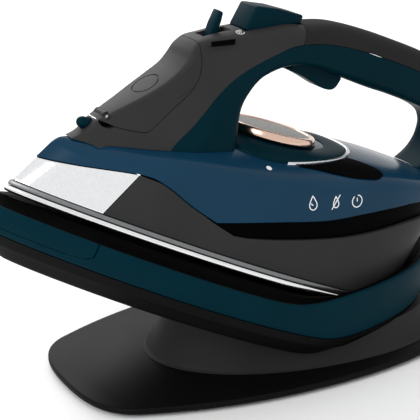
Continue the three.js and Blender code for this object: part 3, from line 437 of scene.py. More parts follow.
class Casing:
    """The side of the iron's body at any height, drawn in by inset."""

    def __init__(self, inset=0.0, count=150, z0=3.0, z1=86.0, levels=42):
        self.count = count
        self.z = np.linspace(z0, z1, levels)
        self.side = np.array([side_of(body_leaf(z, inset), count) for z in self.z])
        self.x = np.linspace(-5, 262, 500)
        shares = np.linspace(0, 1, count + 1)
        self.shares = np.array([np.interp(self.x, row[:, 0], shares) for row in self.side])

    def level(self, z):
        row = np.clip(np.interp(z, self.z, np.arange(len(self.z))), 0, len(self.z) - 1.001)
        return row.astype(int), (row - row.astype(int))[..., None]

    def at(self, s, z):
        """x and y at the share s of the way from nose to heel, at height z."""
        column = np.clip(s, 0, 1) * self.count
        c = np.minimum(column.astype(int), self.count - 1)
        fc = (column - c)[..., None]
        r, fr = self.level(z)
        low = self.side[r, c] * (1 - fc) + self.side[r, c + 1] * fc
        high = self.side[r + 1, c] * (1 - fc) + self.side[r + 1, c + 1] * fc
        both = low * (1 - fr) + high * fr
        return both[..., 0], both[..., 1]

    def share(self, x, z):
        """The share at which the side passes x, at height z."""
        column = np.clip(np.interp(x, self.x, np.arange(len(self.x))), 0, len(self.x) - 1.001)
        c = column.astype(int)
        fc = column - c
        r, fr = self.level(z)
        fr = fr[..., 0]
        low = self.shares[r, c] * (1 - fc) + self.shares[r, c + 1] * fc
        high = self.shares[r + 1, c] * (1 - fc) + self.shares[r + 1, c + 1] * fc
        return low * (1 - fr) + high * fr

    def surface(self, share_of, height_of, shape, side):
        """A grid of points whose share and height each depend on the place found so far."""
        z = np.full(shape, 30.0)
        for _ in range(18):
            s = share_of(z)
            x, y = self.at(s, z)
            z = 0.4 * z + 0.6 * height_of(x, y)
        x, y = self.at(share_of(z), z)
        return np.stack([x, side * y, z], -1)


def patch(casing, low, high, thick, start=None, end=None, rows=14, columns=220, lip=0.45):
    """A curved panel of the casing between two curves seen from the side.

    With end it wraps the nose as far back as end(z); with start it wraps the heel from start(z) on.
    """
    v = np.linspace(-1, 1, columns)[None, :] * np.ones((rows, 1))
    t = np.linspace(0, 1, rows)[:, None] * np.ones((1, columns))
    if end is not None:
        def share_of(z):
            return np.abs(v) * casing.share(end(z), z)
    else:
        def share_of(z):
            s0 = casing.share(start(z), z)
            return s0 + (1 - s0) * (1 - np.abs(v))
    grid = casing.surface(share_of, lambda x, y: low(x) + t * (high(x) - low(x)), v.shape, np.sign(v))
    return slab(grid, thick, lip, outward=None)


# ---- the dock ---------------------------------------------------------------------------------------
def levelling(slope_at_zero, level, softness):
    return lambda x: level + softness * np.log1p(
        np.exp((slope_at_zero - math.tan(PITCH) * x - level) / softness))


rim_z = levelling(91.1, 52.3, 3)
band_z = levelling(74.4, 25, 3)
tray_floor_z = levelling(59.6, 15, 2)


def tray_ring(inset, z_of):
    return ring_of(side_of(tray_leaf(inset)), z_of)


def parked_sole_ring(inset, z):
    ring = ring_of(side_of(sole_leaf(inset)), flat(z))
    x = -52.35 + ring[:, 0] * COS + ring[:, 2] * SIN
    return np.stack([x, ring[:, 1], NOSE_Z - ring[:, 0] * SIN + ring[:, 2] * COS], 1)


def band_rings():
    def between(k):
        return lambda x: band_z(x) + k * (rim_z(x) - band_z(x))

    def lifted(level, lift):
        return lambda x: level(x) + lift

    draft = lambda k: 4 * (1 - k) ** 2
    rings = [tray_ring(4.9, lifted(band_z, 0)), tray_ring(4.35, lifted(band_z, 0.15)),
        tray_ring(4.0, lifted(band_z, 0.6))]
    rings += [tray_ring(draft(k), between(k)) for k in np.linspace(0.06, 0.94, 22)]
    rings += [tray_ring(inset, lifted(rim_z, drop)) for inset,
        drop in [(0.05, -0.75), (0.25, -0.3), (0.7, -0.03), (1.3, 0.06), (2.1, -0.05), (2.8, -0.45),
        (3.05, -1.1)]]
    rings += [tray_ring(draft(k) + WALL + 0.65, between(k)) for k in np.linspace(0.9, 0, 8)]
    return rings


def front_panel_region(grow):
    x = np.linspace(-90, -34, 12)
    lower = list(zip(x, band_z(x) + 4.5 - grow))
    corner = [(-30.5 + 2 * grow, band_z(-30.5) + 4.7 - grow), (-25 + 2 * grow, band_z(-25) + 6 - grow),
        (-22 + 2 * grow, band_z(-22) + 8.5 - grow)]
    return prism(lower + corner + [(-12 + 2 * grow, 125), (-90, 150)], 100, "dock")


def build_tray():
    band = loft(band_rings(), "dock", looped=True)
    panel = combine(copy_of(band), "INTERSECT", front_panel_region(0))
    combine(band, "DIFFERENCE", front_panel_region(0.35))
    piece(band, "tray_band_skin", "dock", BAND, ["tray_band"])
    well = block(-80, -55, -7.1, 7.1, 110.1, 115.9, "dock")
    combine(panel, "DIFFERENCE", well)
    piece(panel, "tray_front_skin", "dock", BAND, ["tray_front_panel"])

    def knob_ring(z, grow):
        return ring_of(side_of(tray_leaf(-0.9 - grow)), flat(z))

    knob = loft([knob_ring(z, g) for z, g in [(110.4, -0.5), (110.7, -0.15), (111.2, 0), (114.8, 0),
        (115.3, -0.15), (115.6, -0.5)]], "dock")
    combine(knob, "INTERSECT", block(-80, -64.4, -6.8, 6.8, 100, 130, "dock"))
    piece(bevelled(knob, 0.35, 2, 50), "lock_knob", "lock", BLACK, ["lock_button"])

    def below_band(share, drop=0.0):
        return lambda x: band_z(x) + share * (tray_floor_z(x) - band_z(x)) - drop

    shell = [tray_ring(70, tray_floor_z), tray_ring(42, tray_floor_z), tray_ring(16, tray_floor_z)]
    shell += [tray_ring(14.4, lambda x: tray_floor_z(x) + 0.25),
        tray_ring(13.2, lambda x: tray_floor_z(x) + 0.9)]
    shell += [tray_ring(13 - 6 * k, below_band(0.93 - 0.53 * k)) for k in np.linspace(0, 1, 8)[:-1]]
    shell += [tray_ring(7 - 2.8 * k, below_band(0.4 * (1 - k), 0.35)) for k in np.linspace(0, 1, 7)]
    shell += [tray_ring(4.4, lambda x: band_z(x) - 0.3), tray_ring(6.6, lambda x: band_z(x) - 0.3)]
    shell += [tray_ring(inset, lambda x: tray_floor_z(x) + 1.8) for inset in (16.4, 42, 70)]
    piece(loft(shell, "dock"), "tray_shell_skin", "dock", BLACK, ["tray_lower_shell"], sharp=24)


def build_liner():
    def rim(drop):
        return lambda x: rim_z(x) - 0.6 - drop

    outer = parked_sole_ring(-2.4, -3.6)
    edge = tray_ring(WALL + 1.1, rim(2))
    foot = parked_sole_ring(-0.6, -1.7)
    inner = tray_ring(WALL + 2.8, rim(0))
    rings = [parked_sole_ring(30, -3.6), parked_sole_ring(8, -3.6)]
    rings += [outer * (1 - k) + edge * k for k in np.linspace(0, 1, 8)]
    rings += [tray_ring(WALL + 1.1, rim(0.4)), tray_ring(WALL + 1.5, rim(0))]
    rings += [inner * (1 - k) + foot * k for k in np.linspace(0, 1, 12)]
    rings += [parked_sole_ring(8, -1.7), parked_sole_ring(30, -1.7)]
    liner = loft(rings, "dock")
    combine(liner, "DIFFERENCE", block(180, 200, -18.3, 18.3, 31.7, 46.3, "dock"))
    piece(liner, "tray_liner_skin", "dock", GLOSS, ["tray_liner"])


def base_outline(inset, steps=26):
    i = inset
    curves = [
        [(-23.5 + i, 0), (-23.5 + i, -24 + i), (-20 + i, -44 + i), (0, -51 + i)],
        [(0, -51 + i), (35, -66 + i), (72, -73.5 + i), (116, -73.5 + i)],
        [(116, -73.5 + i), (190 - i, -73.5 + i), (240 - i, -48 + i), (240 - i, 0)],
    ]
    side = []
    for p in np.array(curves, float):
        for t in np.linspace(0, 1, steps, endpoint=False):
            side.append((1 - t) ** 3 * p[0] + 3 * t * (1 - t) ** 2 * p[1]
                        + 3 * t * t * (1 - t) * p[2] + t**3 * p[3])
    side.append(np.array((240.0 - i, 0)))
    side = np.array(side)
    return np.concatenate([side, side[-2:0:-1] * (1, -1)])


def pedestal_rings():
    levels = np.array([
        (6.3, 29.5, 227.5, 62.2), (6.9, 30.6, 226.3, 61.3), (8, 31.6, 225, 60.4), (12, 33.5, 221, 58.5),
        (22, 38.5, 214, 55), (40, 46, 208, 51), (60, 52, 205, 49),
    ])
    rings = []
    angles = np.linspace(0, 2 * math.pi, 160, endpoint=False)
    for z in np.concatenate([[6.3, 6.5, 6.9, 7.4, 8], np.linspace(9, 60, 28)]):
        front, rear, half = (np.interp(z, levels[:, 0], levels[:, k]) for k in (1, 2, 3))
        reach = np.where(np.cos(angles) > 0, rear - 145, 145 - front)
        rings.append(np.stack([145 + reach * np.cos(angles), half * np.sin(angles), 0 * angles + z], 1))
    return rings


def build_base():
    rings = []
    for inset, z in [(1.6, 2.2), (0.5, 2.35), (0.1, 2.8), (0, 3.4), (0, 4.6), (0.12, 5.2), (0.5, 5.7),
        (1.2, 6)]:
        o = base_outline(inset)
        rings.append(np.column_stack([o, np.full(len(o), z)]))
    plate = loft(rings, "dock")
    under = [np.column_stack([base_outline(2.2), np.full(len(base_outline(2.2)), z)]) for z in (1.5, 3.4)]
    combine(plate, "DIFFERENCE", loft(under, "dock"))
    piece(plate, "base_plate_skin", "dock", PLATE, ["base_plate"], sharp=40)

    pedestal = loft(pedestal_rings(), "dock")

    def lowered(level):
        return lambda x: level(x) - 0.3

    shell_mid = lambda x: 0.6 * band_z(x) + 0.4 * tray_floor_z(x)
    tool = loft([
        tray_ring(70, lowered(tray_floor_z)), tray_ring(42, lowered(tray_floor_z)), tray_ring(13,
            lowered(tray_floor_z)),
        tray_ring(6.6, lowered(shell_mid)), tray_ring(3.7, lowered(band_z)), tray_ring(-2,
            lambda x: band_z(x) + 60),
    ], "dock")
    x = np.linspace(-80, 250, 60)
    upper = prism(list(zip(x, band_z(x) - 3)) + [(250, 200), (-80, 200)], 100, "dock")
    combine(pedestal, "DIFFERENCE", tool, upper)
    hole = lathe([(0, -14), (6.3, -14), (6.3, 14), (0, 14)],
        Matrix.Translation((226, 0, 15.4)) @ Matrix.Rotation(math.pi / 2, 4, "Y"), 48, "dock")
    combine(pedestal, "DIFFERENCE", hole)
    piece(pedestal, "pedestal_skin", "dock", PEDESTAL, ["pedestal"])

    sleeve = [(3.6, 0), (6, 0), (6, 4.6), (6.3, 5), (7.4, 5), (7.7, 5.4), (7.7, 6.6), (7.3, 7.1)]
    sleeve += [(6.6, 7.6), (6.4, 8), (6.6, 8.4), (6.5, 8.9), (6.1, 9.3), (5.4, 9.5), (4.2, 9.5),
        (3.7, 9.2), (3.6, 0)]
    axis = Matrix.Translation((220.4, 0, 15.4)) @ Matrix.Rotation(math.pi / 2, 4, "Y")
    piece(lathe(sleeve, axis, 64, "dock"), "cord_gland_skin", "dock", RUBBER, ["cord_gland"])


# ---- the iron's body ----------------------------------------------------------------------------------
CASING = Casing()
STEAM_HOLES = [(34, 0), (50, 11), (50, -11), (70, 20), (70, -20), (92, 28), (92, -28), (116, 33),
    (116, -33), (60, 0)]


def on_axis(x, y, z=0.0):
    return Matrix.Translation((x, y, z))


def build_sole():
    section = [(1.6, 0), (0.9, 0.08), (0.4, 0.35), (0.1, 0.85), (0, 1.5), (0, 2.4), (0.12, 3),
        (0.5, 3.35), (1, 3.4)]
    rings = [ring_of(side_of(sole_leaf(42)), flat(0)), ring_of(side_of(sole_leaf(12)), flat(0))]
    rings += [ring_of(side_of(sole_leaf(inset)), flat(z)) for inset, z in section]
    rings += [ring_of(side_of(sole_leaf(inset)), flat(3.4)) for inset in (12, 42)]
    sole = loft(rings)
    for x, y in STEAM_HOLES:
        hole = lathe([(0, -1), (2.6, -1), (1.6, 0.7), (1.6, 5), (0, 5)], on_axis(x, y), 24)
        combine(sole, "DIFFERENCE", hole)
    piece(sole, "soleplate_skin", "iron", SOLE, ["soleplate"], sharp=40)

    section = [(4.4, 3.75), (1.2, 3.75), (0.8, 3.9), (0.7, 4.2), (0.85, 5.7), (1, 6.1), (1.4, 6.3),
        (4.4, 6.3)]
    strip = loft([ring_of(side_of(sole_leaf(inset)), flat(z)) for inset, z in section], looped=True)
    piece(strip, "heat_shield_skin", "iron", GREY, ["heat_shield"], sharp=40)


def trim_end(shift):
    return lambda z: 43.2 + shift + (z - 5) * 12.6 / 26.2


def build_sides():
    low = flat(SHIELD_TOP + GAP)
    tank_foot = lambda x: TANK_LOWER(x) - GAP
    trim = patch(CASING, low, tank_foot, 1.6, end=trim_end(0), rows=16, columns=160, lip=0.5)
    piece(trim, "nose_trim_skin", "iron", CHROME, ["nose_trim"])

    top = lambda x: np.minimum(SKIRT_TOP(x), TANK_LOWER(x) - GAP)
    skirt = patch(CASING, low, top, WALL, start=trim_end(0.35), rows=26, columns=420, lip=0.5)
    panel = block(230, 300, -27.3, 27.3, -10, 48.3)
    combine(skirt, "DIFFERENCE", panel)
    piece(skirt, "skirt_skin", "iron", CHARCOAL, ["skirt"])

    heel = patch(CASING, low, top, WALL, start=trim_end(0.35), rows=26, columns=420, lip=0.5)
    combine(heel, "INTERSECT", block(230, 300, -27, 27, -10, 48))
    combine(heel, "DIFFERENCE", block(235, 270, -14.3, 14.3, 18.7, 31.3))
    piece(bevelled(heel, 0.3, 2, 60), "heel_cover_skin", "iron", BLACK, ["heel_cover"])

    recess = patch(
        Casing(2.6), lambda x: SKIRT_TOP(x) - 2.5, lambda x: TANK_LOWER(x) + 0.6, 1.6,
        start=lambda z: 100 + 0 * z, rows=10, columns=300, lip=0.3,
    )
    piece(recess, "body_recess_skin", "iron", GLOSS, ["body_recess"])


def build_tank():
    count = 190
    shares = np.concatenate([np.linspace(0, 1, count), np.linspace(1, 0, count)[1:-1]])
    side = np.concatenate([-np.ones(count), np.ones(count - 2)])
    fillet = 4.5
    s = shares[None, :]

    def band(t, top_drop):
        """Points on the side at the share t of the way up to the deck less top_drop."""
        def height(x, y):
            foot = TANK_LOWER(x)
            return foot + t * np.maximum(1, deck_height(x, y) - top_drop - foot)
        return CASING.surface(lambda z: s + 0 * z, height, s.shape, side)[0]

    foot = band(0.0, fillet)
    def drawn_in(ring, amount, lift=0.0):
        out = ring.copy()
        nearer = np.minimum(amount, 0.8 * np.abs(ring[:, 1]))
        out[:, 1] -= np.sign(ring[:, 1]) * nearer
        out[:, 0] += amount * np.clip((60 - ring[:, 0]) / 60, 0,
            1) - amount * np.clip((ring[:, 0] - 225) / 25, 0, 1)
        out[:, 2] += lift
        return out

    rows = [drawn_in(foot, k, 0) for k in (14, 2.4, 0.8)] + [drawn_in(foot, 0.25, 0.1),
        drawn_in(foot, 0.04, 0.4)]
    rows += [band(t, fillet) for t in np.linspace(0.05, 1, 24)]
    below, corner = band(1.0, fillet), band(1.0, 0.0)
    inner = drawn_in(corner, fillet * 1.25)
    inner[:, 2] = deck_height(inner[:, 0], inner[:, 1])
    for t in np.linspace(0, 1, 9)[1:]:
        rows.append((1 - t) ** 2 * below + 2 * t * (1 - t) * corner + t * t * inner)
    for t in np.linspace(0, 1, 30)[1:]:
        ring = inner.copy()
        ring[:, 1] *= 1 - t
        ring[:, 2] = deck_height(ring[:, 0], ring[:, 1])
        rows.append(ring)
    first = rows[0].copy()
    first[:, 1] = 0
    grid = np.array([first] + rows)
    tank = raw(grid.reshape(-1, 3), grid_faces(len(grid), len(shares), False, True), "iron")
    hole = lathe([(0, 30), (8.3, 30), (8.3, 70), (0, 70)], on_axis(60, 0), 48)
    combine(tank, "DIFFERENCE", hole, dial_cylinder(DIAL_RADIUS + 0.9, 6, -8))
    piece(tank, "water_tank_skin", "iron", TANK, ["water_tank"], sharp=40)


# ---- the deck: plinth, lip, inlays and dial -----------------------------------------------------------
DIAL_SPACE = Matrix.Translation((DIAL_AT[0], 0, DIAL_AT[1])) @ Matrix.Rotation(DIAL_LEAN, 4, "Y")
INLAY = [
    (120, 33.2), (128, 33), (140, 33), (152, 33), (165, 31), (176, 30), (183, 33), (189, 37.5), (192, 42),
    (191.6, 46.2), (187, 48.8), (178, 48.6), (169, 47.2), (158, 44.4), (147, 40.6), (136, 37.6),
    (127, 35.2),
]


def dial_cylinder(radius, deep, shallow, sides=96):
    return lathe([(0, -deep), (radius, -deep), (radius, -shallow), (0, -shallow)], DIAL_SPACE, sides)


def deck_layer(low, high, x0=-20, x1=280):
    """The space between two offsets from the deck."""
    x, y = np.meshgrid(np.linspace(x0, x1, 240), np.linspace(-72, 72, 110), indexing="ij")
    top = np.stack([x, y, deck_height(x, y) + high], -1)
    bottom = np.stack([x, y, (deck_height(x, y) + low) if low > -20 else 0 * x + low], -1)
    rows, columns = x.shape
    shift = rows * columns
    faces = grid_faces(rows, columns) + [tuple(shift + i for i in f[::-1]) for f in grid_faces(rows,
        columns)]
    rim = [(i, 0) for i in range(rows)] + [(rows - 1, j) for j in range(1, columns)]
    rim += [(i, columns - 1) for i in range(rows - 2, -1, -1)] + [(0, j) for j in range(columns - 2, 0, -1)]
    index = [i * columns + j for i, j in rim]
    for a, b in zip(index, index[1:] + index[:1]):
        faces.append((a, b, shift + b, shift + a))
    return raw(np.concatenate([top.reshape(-1, 3), bottom.reshape(-1, 3)]), faces)


def plinth_outline(grow, angle):
    """Points of the plinth's outline, grown outward, at these angles about the dial."""
    cos, sin = np.cos(angle), np.sin(angle)
    reach = np.where(cos > 0, 46.5, 33) + grow
    x = 140 + reach * np.sign(cos) * np.abs(cos) ** 0.8
    return x, (36 + grow) * np.sign(sin) * np.abs(sin) ** 0.8


def plinth_ring(grow, z_of, count=180):
    x, y = plinth_outline(grow, np.linspace(0, 2 * math.pi, count, endpoint=False))
    return np.stack([x, y, z_of(x, y)], 1)


def plinth_prism(grow):
    return loft([plinth_ring(grow, lambda x, y: 0 * x + z) for z in (40, 100)])


def plinth():
    outline = plinth_ring(0, lambda x, y: deck_height(x, y) + 0.6)

    def ring(share, lift):
        away = np.hypot(outline[:, 0] - DIAL_AT[0], outline[:, 1])
        scale = 1 - share + share * (DIAL_RADIUS - 1) / away
        x, y = DIAL_AT[0] + (outline[:, 0] - DIAL_AT[0]) * scale, outline[:, 1] * scale
        under_dial = DIAL_AT[1] - 5.8 + (x - DIAL_AT[0]) * math.tan(-DIAL_LEAN)
        return np.stack([x, y, (1 - share) * outline[:, 2] + share * under_dial + lift], 1)

    steps = [(0.015, 0.4), (0.04, 0.7), (0.08, 0.85), (0.25, 0.95), (0.5, 1), (0.75, 0.8), (1, 0)]
    return loft([plinth_ring(0, lambda x, y: 45 + 0 * x), outline] + [ring(*step) for step in steps])


def build_trim(handle_outer):
    angle = np.radians(np.linspace(-96, 96, 161))
    width = 0.9 + 1.1 * np.maximum(0, np.cos(angle))
    corners = [(0, 0, GAP), (0, 0, 1.4), (0, 0.25, 1.7), (1, -0.25, 1.7), (1, 0, 1.4), (1, 0, GAP)]
    edges = []
    for share, shift, height in corners:
        x, y = plinth_outline(0.4 + share * width + shift, angle)
        edges.append(np.stack([x, y, deck_height(x, y) + height], 1))
    lip = loft([np.array(section) for section in zip(*edges)])
    piece(lip, "deck_lip_skin", "iron", SILVER, ["deck_lip"])
    outline = spline(INLAY + INLAY[:1], 140)[:-1]
    for side, word in ((-1, "left"), (1, "right")):
        inlay = loft([np.column_stack([outline * (1, side), np.full(len(outline), z)]) for z in (40, 100)])
        combine(inlay, "INTERSECT", deck_layer(GAP, 1.1))
        combine(inlay, "DIFFERENCE", plinth_prism(2.8), handle_outer)
        piece(bevelled(inlay, 0.25, 2, 50), f"deck_inlay_{word}_skin", "iron", GLOSS,
            [f"deck_inlay_{word}"])


def build_dial():
    r = DIAL_RADIUS
    rim = [(r - 3.6, -5), (r - 1, -5), (r - 0.3, -4.8), (r + 0.25, -4.3), (r + 0.4, -3.6),
        (r + 0.25, -2.2), (r - 0.05, -1)]
    rim += [(r - 0.4, -0.4), (r - 1, -0.05), (r - 1.8, 0.05), (r - 2.6, -0.02), (r - 3.2, -0.2),
        (r - 3.55, -0.6), (r - 3.6, -5)]
    piece(lathe(rim, DIAL_SPACE, 160), "dial_rim_skin", "dial", COPPER, ["dial_rim"], sharp=40)
    face = [(0, -2.6), (r - 4, -2.6), (r - 3.75, -2.3), (r - 3.75, -0.75), (r - 3.95, -0.5),
        (r - 4.6, -0.42)]
    face += [(r - 5.4, -0.42), (r - 5.7, -0.55), (r - 6, -0.42), (r - 7, -0.36), (8, -0.3), (0, -0.3)]
    piece(lathe(face, DIAL_SPACE, 160), "dial_face_skin", "dial", DIAL_GREY, ["dial_face"],
        sharp=25)


# ---- the handle ----------------------------------------------------------------------------------------
# Sections that repeat along the bar, down the rear column and at its foot: the last four numbers of a row.
BAR = (16, 9.5, 17, 14)
REAR = (16, 8, 17, 12)
HEEL = (16, 7.5, 17, 12)
# Each row: outer point, inner point, half-width at the ridge, its rounding, half-width of the side, how far
# back the side reaches it.
STATIONS = [
    ((8, 20), (111, 20), 3.4, 1.0, 26, 60),
    ((14, 27.5), (111, 38), 3.8, 1.1, 26, 60),
    ((21, 33.8), (111, 48), 4.4, 1.2, 26, 60),
    ((28, 40), (111, 55), 5.2, 1.3, 25.5, 58),
    ((33.2, 49), (110.6, 61.5), 6.7, 1.5, 24.5, 56),
    ((39, 55.5), (109.9, 67), 8.3, 1.7, 23, 52),
    ((45.2, 62.3), (109.5, 72.5), 10.2, 1.9, 20.8, 46),
    ((52.3, 70.4), (109.5, 78.5), 12.4, 2.1, 18.8, 40),
    ((59, 78.6), (110.4, 83.8), 13.6, 2.3, 17.4, 34),
    ((64.8, 87), (111.8, 89), 13.5, 2.4, 17, 30),
    ((67.5, 93.5), (113.4, 93.8), 13.9, 2.5, 17, 28),
    ((68.6, 99.5), (115.8, 98.3), 12.9, 2.8, 17, 26),
    ((71.6, 105.2), (119.2, 102), 12, 4.2, 17, 24),
    ((78.5, 109.7), (123.4, 105.6), 12.8, 6.5, 17, 22),
    ((84.7, 113.4), (128, 108.6), 14, 8, 17, 20),
    ((93, 117.6), (133, 110.9), 15.2, 9, 17, 18),
    ((101, 121.8), (138, 112.3), 15.8, 9.4, 17, 16),
    ((107, 124.8), (143, 113.4), *BAR),
    ((115, 129), (149, 114), *BAR),
    ((122, 131.8), (155, 114), *BAR),
    ((129, 133.6), (160, 114), *BAR),
    ((136, 135.4), (166, 114), *BAR),
    ((149.5, 140), (174, 114), *BAR),
    ((162, 142.4), (182, 114), *BAR),
    ((178, 144), (191, 114.2), *BAR),
    ((195, 144.8), (201, 114.7), *BAR),
    ((218, 145.2), (218, 114.8), *BAR),
    ((236, 143.6), (230, 114.7), *BAR),
    ((246, 140.4), (238, 114), *BAR),
    ((252, 137), (243.5, 112.8), *BAR),
    ((256.8, 133), (247.5, 111), 16, 9, 17, 14),
    ((261, 127), (250.4, 108.2), 16, 9, 17, 14),
    ((265, 119), (252.4, 104.8), 16, 8.5, 17, 12),
    ((268.5, 110), (253.2, 101), *REAR),
    ((270, 101), (253.2, 95.5), *REAR),
    ((268.5, 91), (251.1, 88.4), *REAR),
    ((263.5, 81.5), (246, 81), *HEEL),
    ((257.5, 74.5), (240.5, 74.6), *HEEL),
    ((255, 66), (237, 68), *HEEL),
    ((254, 54), (236.2, 56), *HEEL),
    ((254, 42), (236, 42), *HEEL),
]


def handle_body(inset=0.0, count=330):
    """The whole handle, from the front column to the heel, drawn in by inset all round."""
    outer = spline([s[0] for s in STATIONS], count)
    inner = spline([s[1] for s in STATIONS], count)
    shape = spline([(s[2], s[3]) for s in STATIONS], count)
    side = spline([(s[4], s[5]) for s in STATIONS], count)
    tangent = np.gradient(outer, axis=0)
    tangent /= np.linalg.norm(tangent, axis=1, keepdims=True)
    rings = []
    for k in range(count + 1):
        line = inner[k] - outer[k]
        length = np.linalg.norm(line)
        line /= length
        slant = abs(tangent[k][0] * line[1] - tangent[k][1] * line[0])
        lead = inset / max(0.5, slant)
        (ridge, fillet), (full, flare) = shape[k], side[k]
        crown = 1.0 + 0.9 * max(0, min(1, (ridge - 14) / 2))
        ridge, full, fillet = ridge - inset, full - inset, max(0.5, fillet - 0.6 * inset)
        depth, inner_fillet = length - lead - inset, 7.5 - inset
        half = []
        flat_to = max(0.2, ridge - fillet)
        for y in np.linspace(0, flat_to, 9):
            half.append((crown * (y / ridge) ** 2, y))
        start, corner = half[-1], (crown, ridge)

        def side_at(t):
            reach = min(1.0, max(0.0, (t - crown) / flare))
            return ridge + (full - ridge) * (1 - (1 - reach) ** 1.3)

        end_t = crown + fillet
        end = (end_t, side_at(end_t))
        for t in np.linspace(0, 1, 8)[1:]:
            half.append(tuple((1 - t) ** 2 * a + 2 * t * (1 - t) * b + t * t * c for a, b,
                c in zip(start, corner, end)))
        stop = max(end_t + 1, depth - inner_fillet)
        for t in np.linspace(end_t, stop, 24)[1:]:
            half.append((t, side_at(t)))
        last = side_at(stop)
        for a in np.linspace(0, math.pi / 2, 9)[1:]:
            half.append((stop + (depth - stop) * math.sin(a), last - inner_fillet * (1 - math.cos(a))))
        for y in np.linspace(last - inner_fillet, 0, 6)[1:]:
            half.append((depth, y))
        half = np.array(half)
        loop = np.concatenate([half, (half * (1, -1))[-2:0:-1]])
        origin = outer[k] + line * lead
        points = origin[None, :] + loop[:, :1] * line[None, :]
        rings.append(np.column_stack([points[:, 0], loop[:, 1], points[:, 1]]))
    return loft(rings)


SHELL_SEAM = [
    (60, 20), (66, 40), (70.8, 46), (74.6, 54), (82, 66), (94, 89), (101.6, 99.4), (110, 107.8),
    (117.5, 114.4),
    (126.5, 121.4), (143, 127.6), (164, 131.4), (188, 133), (214, 133.4), (236, 132), (249, 127),
    (257, 118),
    (260.6, 106), (260, 94), (254, 84), (247, 74), (245, 60), (245, 20),
]
GRIP_SPLIT = 130
LEVER_SLOT = (76, 91.4, -4.6, 4.6, 99, 130)
SPRAY_OPENING = (96, 130.1, -9.4, 9.4, 110, 150)
TRIGGER_OPENING = (133.8, 172, -7.8, 7.8, 100, 119)
DOOR_BELOW = [(24, 49.6), (33, 49.6), (43, 49.2), (50, 50), (54.2, 51)]
DOOR_BEHIND = [(54.2, 51), (56.8, 51.7), (59.6, 54), (66.5, 66), (73.6, 78), (76.2, 86.5), (75, 94.5),
    (73, 99.5), (69.5, 108.5), (66, 113)]
DOOR_HINGE = (38, 52.4)
NOZZLE = (30.2, 45.2)
NOZZLE_DIP = 0.15


def seam_region(shift):
    line = spline(SHELL_SEAM, 200)
    return prism([(x, z + shift) for x, z in line] + [(300, 20 + shift), (300, 250), (-20, 250),
        (-20, 20 + shift)], 100)


def door_region(grow):
    line = DOOR_BELOW[:-1] + [tuple(p) for p in spline(DOOR_BEHIND, 80)] + [(40, 116)]
    centre = np.array((52, 80))
    out = []
    for p in line:
        away = np.array(p) - centre
        out.append(centre + away * (1 + 1.3 * grow / np.linalg.norm(away)))
    return prism(out, 100)


def across(x, z, half_length, radius, sides=40):
    matrix = Matrix.Translation((x, 0, z)) @ Matrix.Rotation(math.pi / 2, 4, "X")
    return lathe([(0, -half_length), (radius, -half_length), (radius, half_length), (0, half_length)],
        matrix, sides)


def nozzle_space(radius):
    turn = Matrix.Translation((NOZZLE[0], 0, NOZZLE[1])) @ Matrix.Rotation(-math.pi / 2 - NOZZLE_DIP, 4,
        "Y")
    return lathe([(0, -11), (radius, -11), (radius, 11), (0, 11)], turn, 48)


def build_handle():
    outer, core = handle_body(), handle_body(WALL)
    deck = deck_layer(-80, GAP)
    combine(outer, "DIFFERENCE", deck)
    shell = combine(copy_of(outer), "DIFFERENCE", core)
    door_gap, door_shape = door_region(GAP), door_region(0)

    cover = combine(copy_of(shell), "INTERSECT", seam_region(0))
    grip = copy_of(cover)
    combine(cover, "INTERSECT", block(0, GRIP_SPLIT, -40, 40, 0, 200))
    combine(
        cover, "DIFFERENCE", door_gap, block(*LEVER_SLOT), block(*SPRAY_OPENING),
        nozzle_space(3.4), across(*DOOR_HINGE, 40, 5.6),
    )
    window = [(75.6, 104.4), (89, 109.8), (88, 113.6), (74.6, 107.9)]
    slot = prism(window, 60)
    combine(slot, "DIFFERENCE", block(0, 200, -15.6, 15.6, 0, 200))
    combine(cover, "DIFFERENCE", slot)
    piece(cover, "front_cover_skin", "iron", CHARCOAL, ["front_cover"])

    combine(grip, "INTERSECT", block(GRIP_SPLIT + GAP, 300, -40, 40, 0, 200))
    piece(grip, "handle_grip_skin", "iron", GRIP, ["handle_grip"])

    inner = combine(copy_of(shell), "DIFFERENCE", seam_region(-GAP))
    combine(inner, "DIFFERENCE", block(*TRIGGER_OPENING))
    foot = plinth()
    combine(foot, "DIFFERENCE", deck, core)
    combine(inner, "UNION", foot)
    combine(inner, "DIFFERENCE", dial_cylinder(DIAL_RADIUS + 1, 6, -8), dial_cylinder(4.4, 30, -8, 40))
    piece(inner, "handle_inner_skin", "iron", TEAL, ["handle_inner_shell"])

    door = combine(copy_of(shell), "INTERSECT", door_shape)
    combine(door, "DIFFERENCE", nozzle_space(3.4))
    scoop = [(73, 98.6), (75.2, 93), (75.7, 86.8), (73.2, 79), (67.4, 73.2), (63.4, 77), (68, 81.5),
        (69.9, 87), (69.6, 93), (67.8, 98.4)]
    scoop = prism(spline(scoop + scoop[:1], 60)[:-1], 60)
    combine(scoop, "DIFFERENCE", block(0, 200, -15.2, 15.2, 0, 200))
    combine(door, "DIFFERENCE", scoop)
    combine(door, "UNION", across(*DOOR_HINGE, 5, 2.4))
    combine(door, "DIFFERENCE", across(*DOOR_HINGE, 40, 1.3))
    piece(door, "filler_door_skin", "door", CHARCOAL, ["filler_door"])
    return outer


def build_nozzle():
    turn = Matrix.Translation((NOZZLE[0] - 1.2, 0,
        NOZZLE[1])) @ Matrix.Rotation(-math.pi / 2 - NOZZLE_DIP, 4, "Y")
    profile = [(0, -6), (2.2, -6), (3, -4.6), (3, 0.4), (2.85, 1.2), (2.5, 2), (1.9, 2.7), (1.2, 3.1),
        (0.8, 3.2), (0.65, 3), (0.6, 1.8), (0, 1.8)]
    piece(lathe(profile, turn, 56), "spray_nozzle_skin", "iron", TEAL, ["spray_nozzle"])


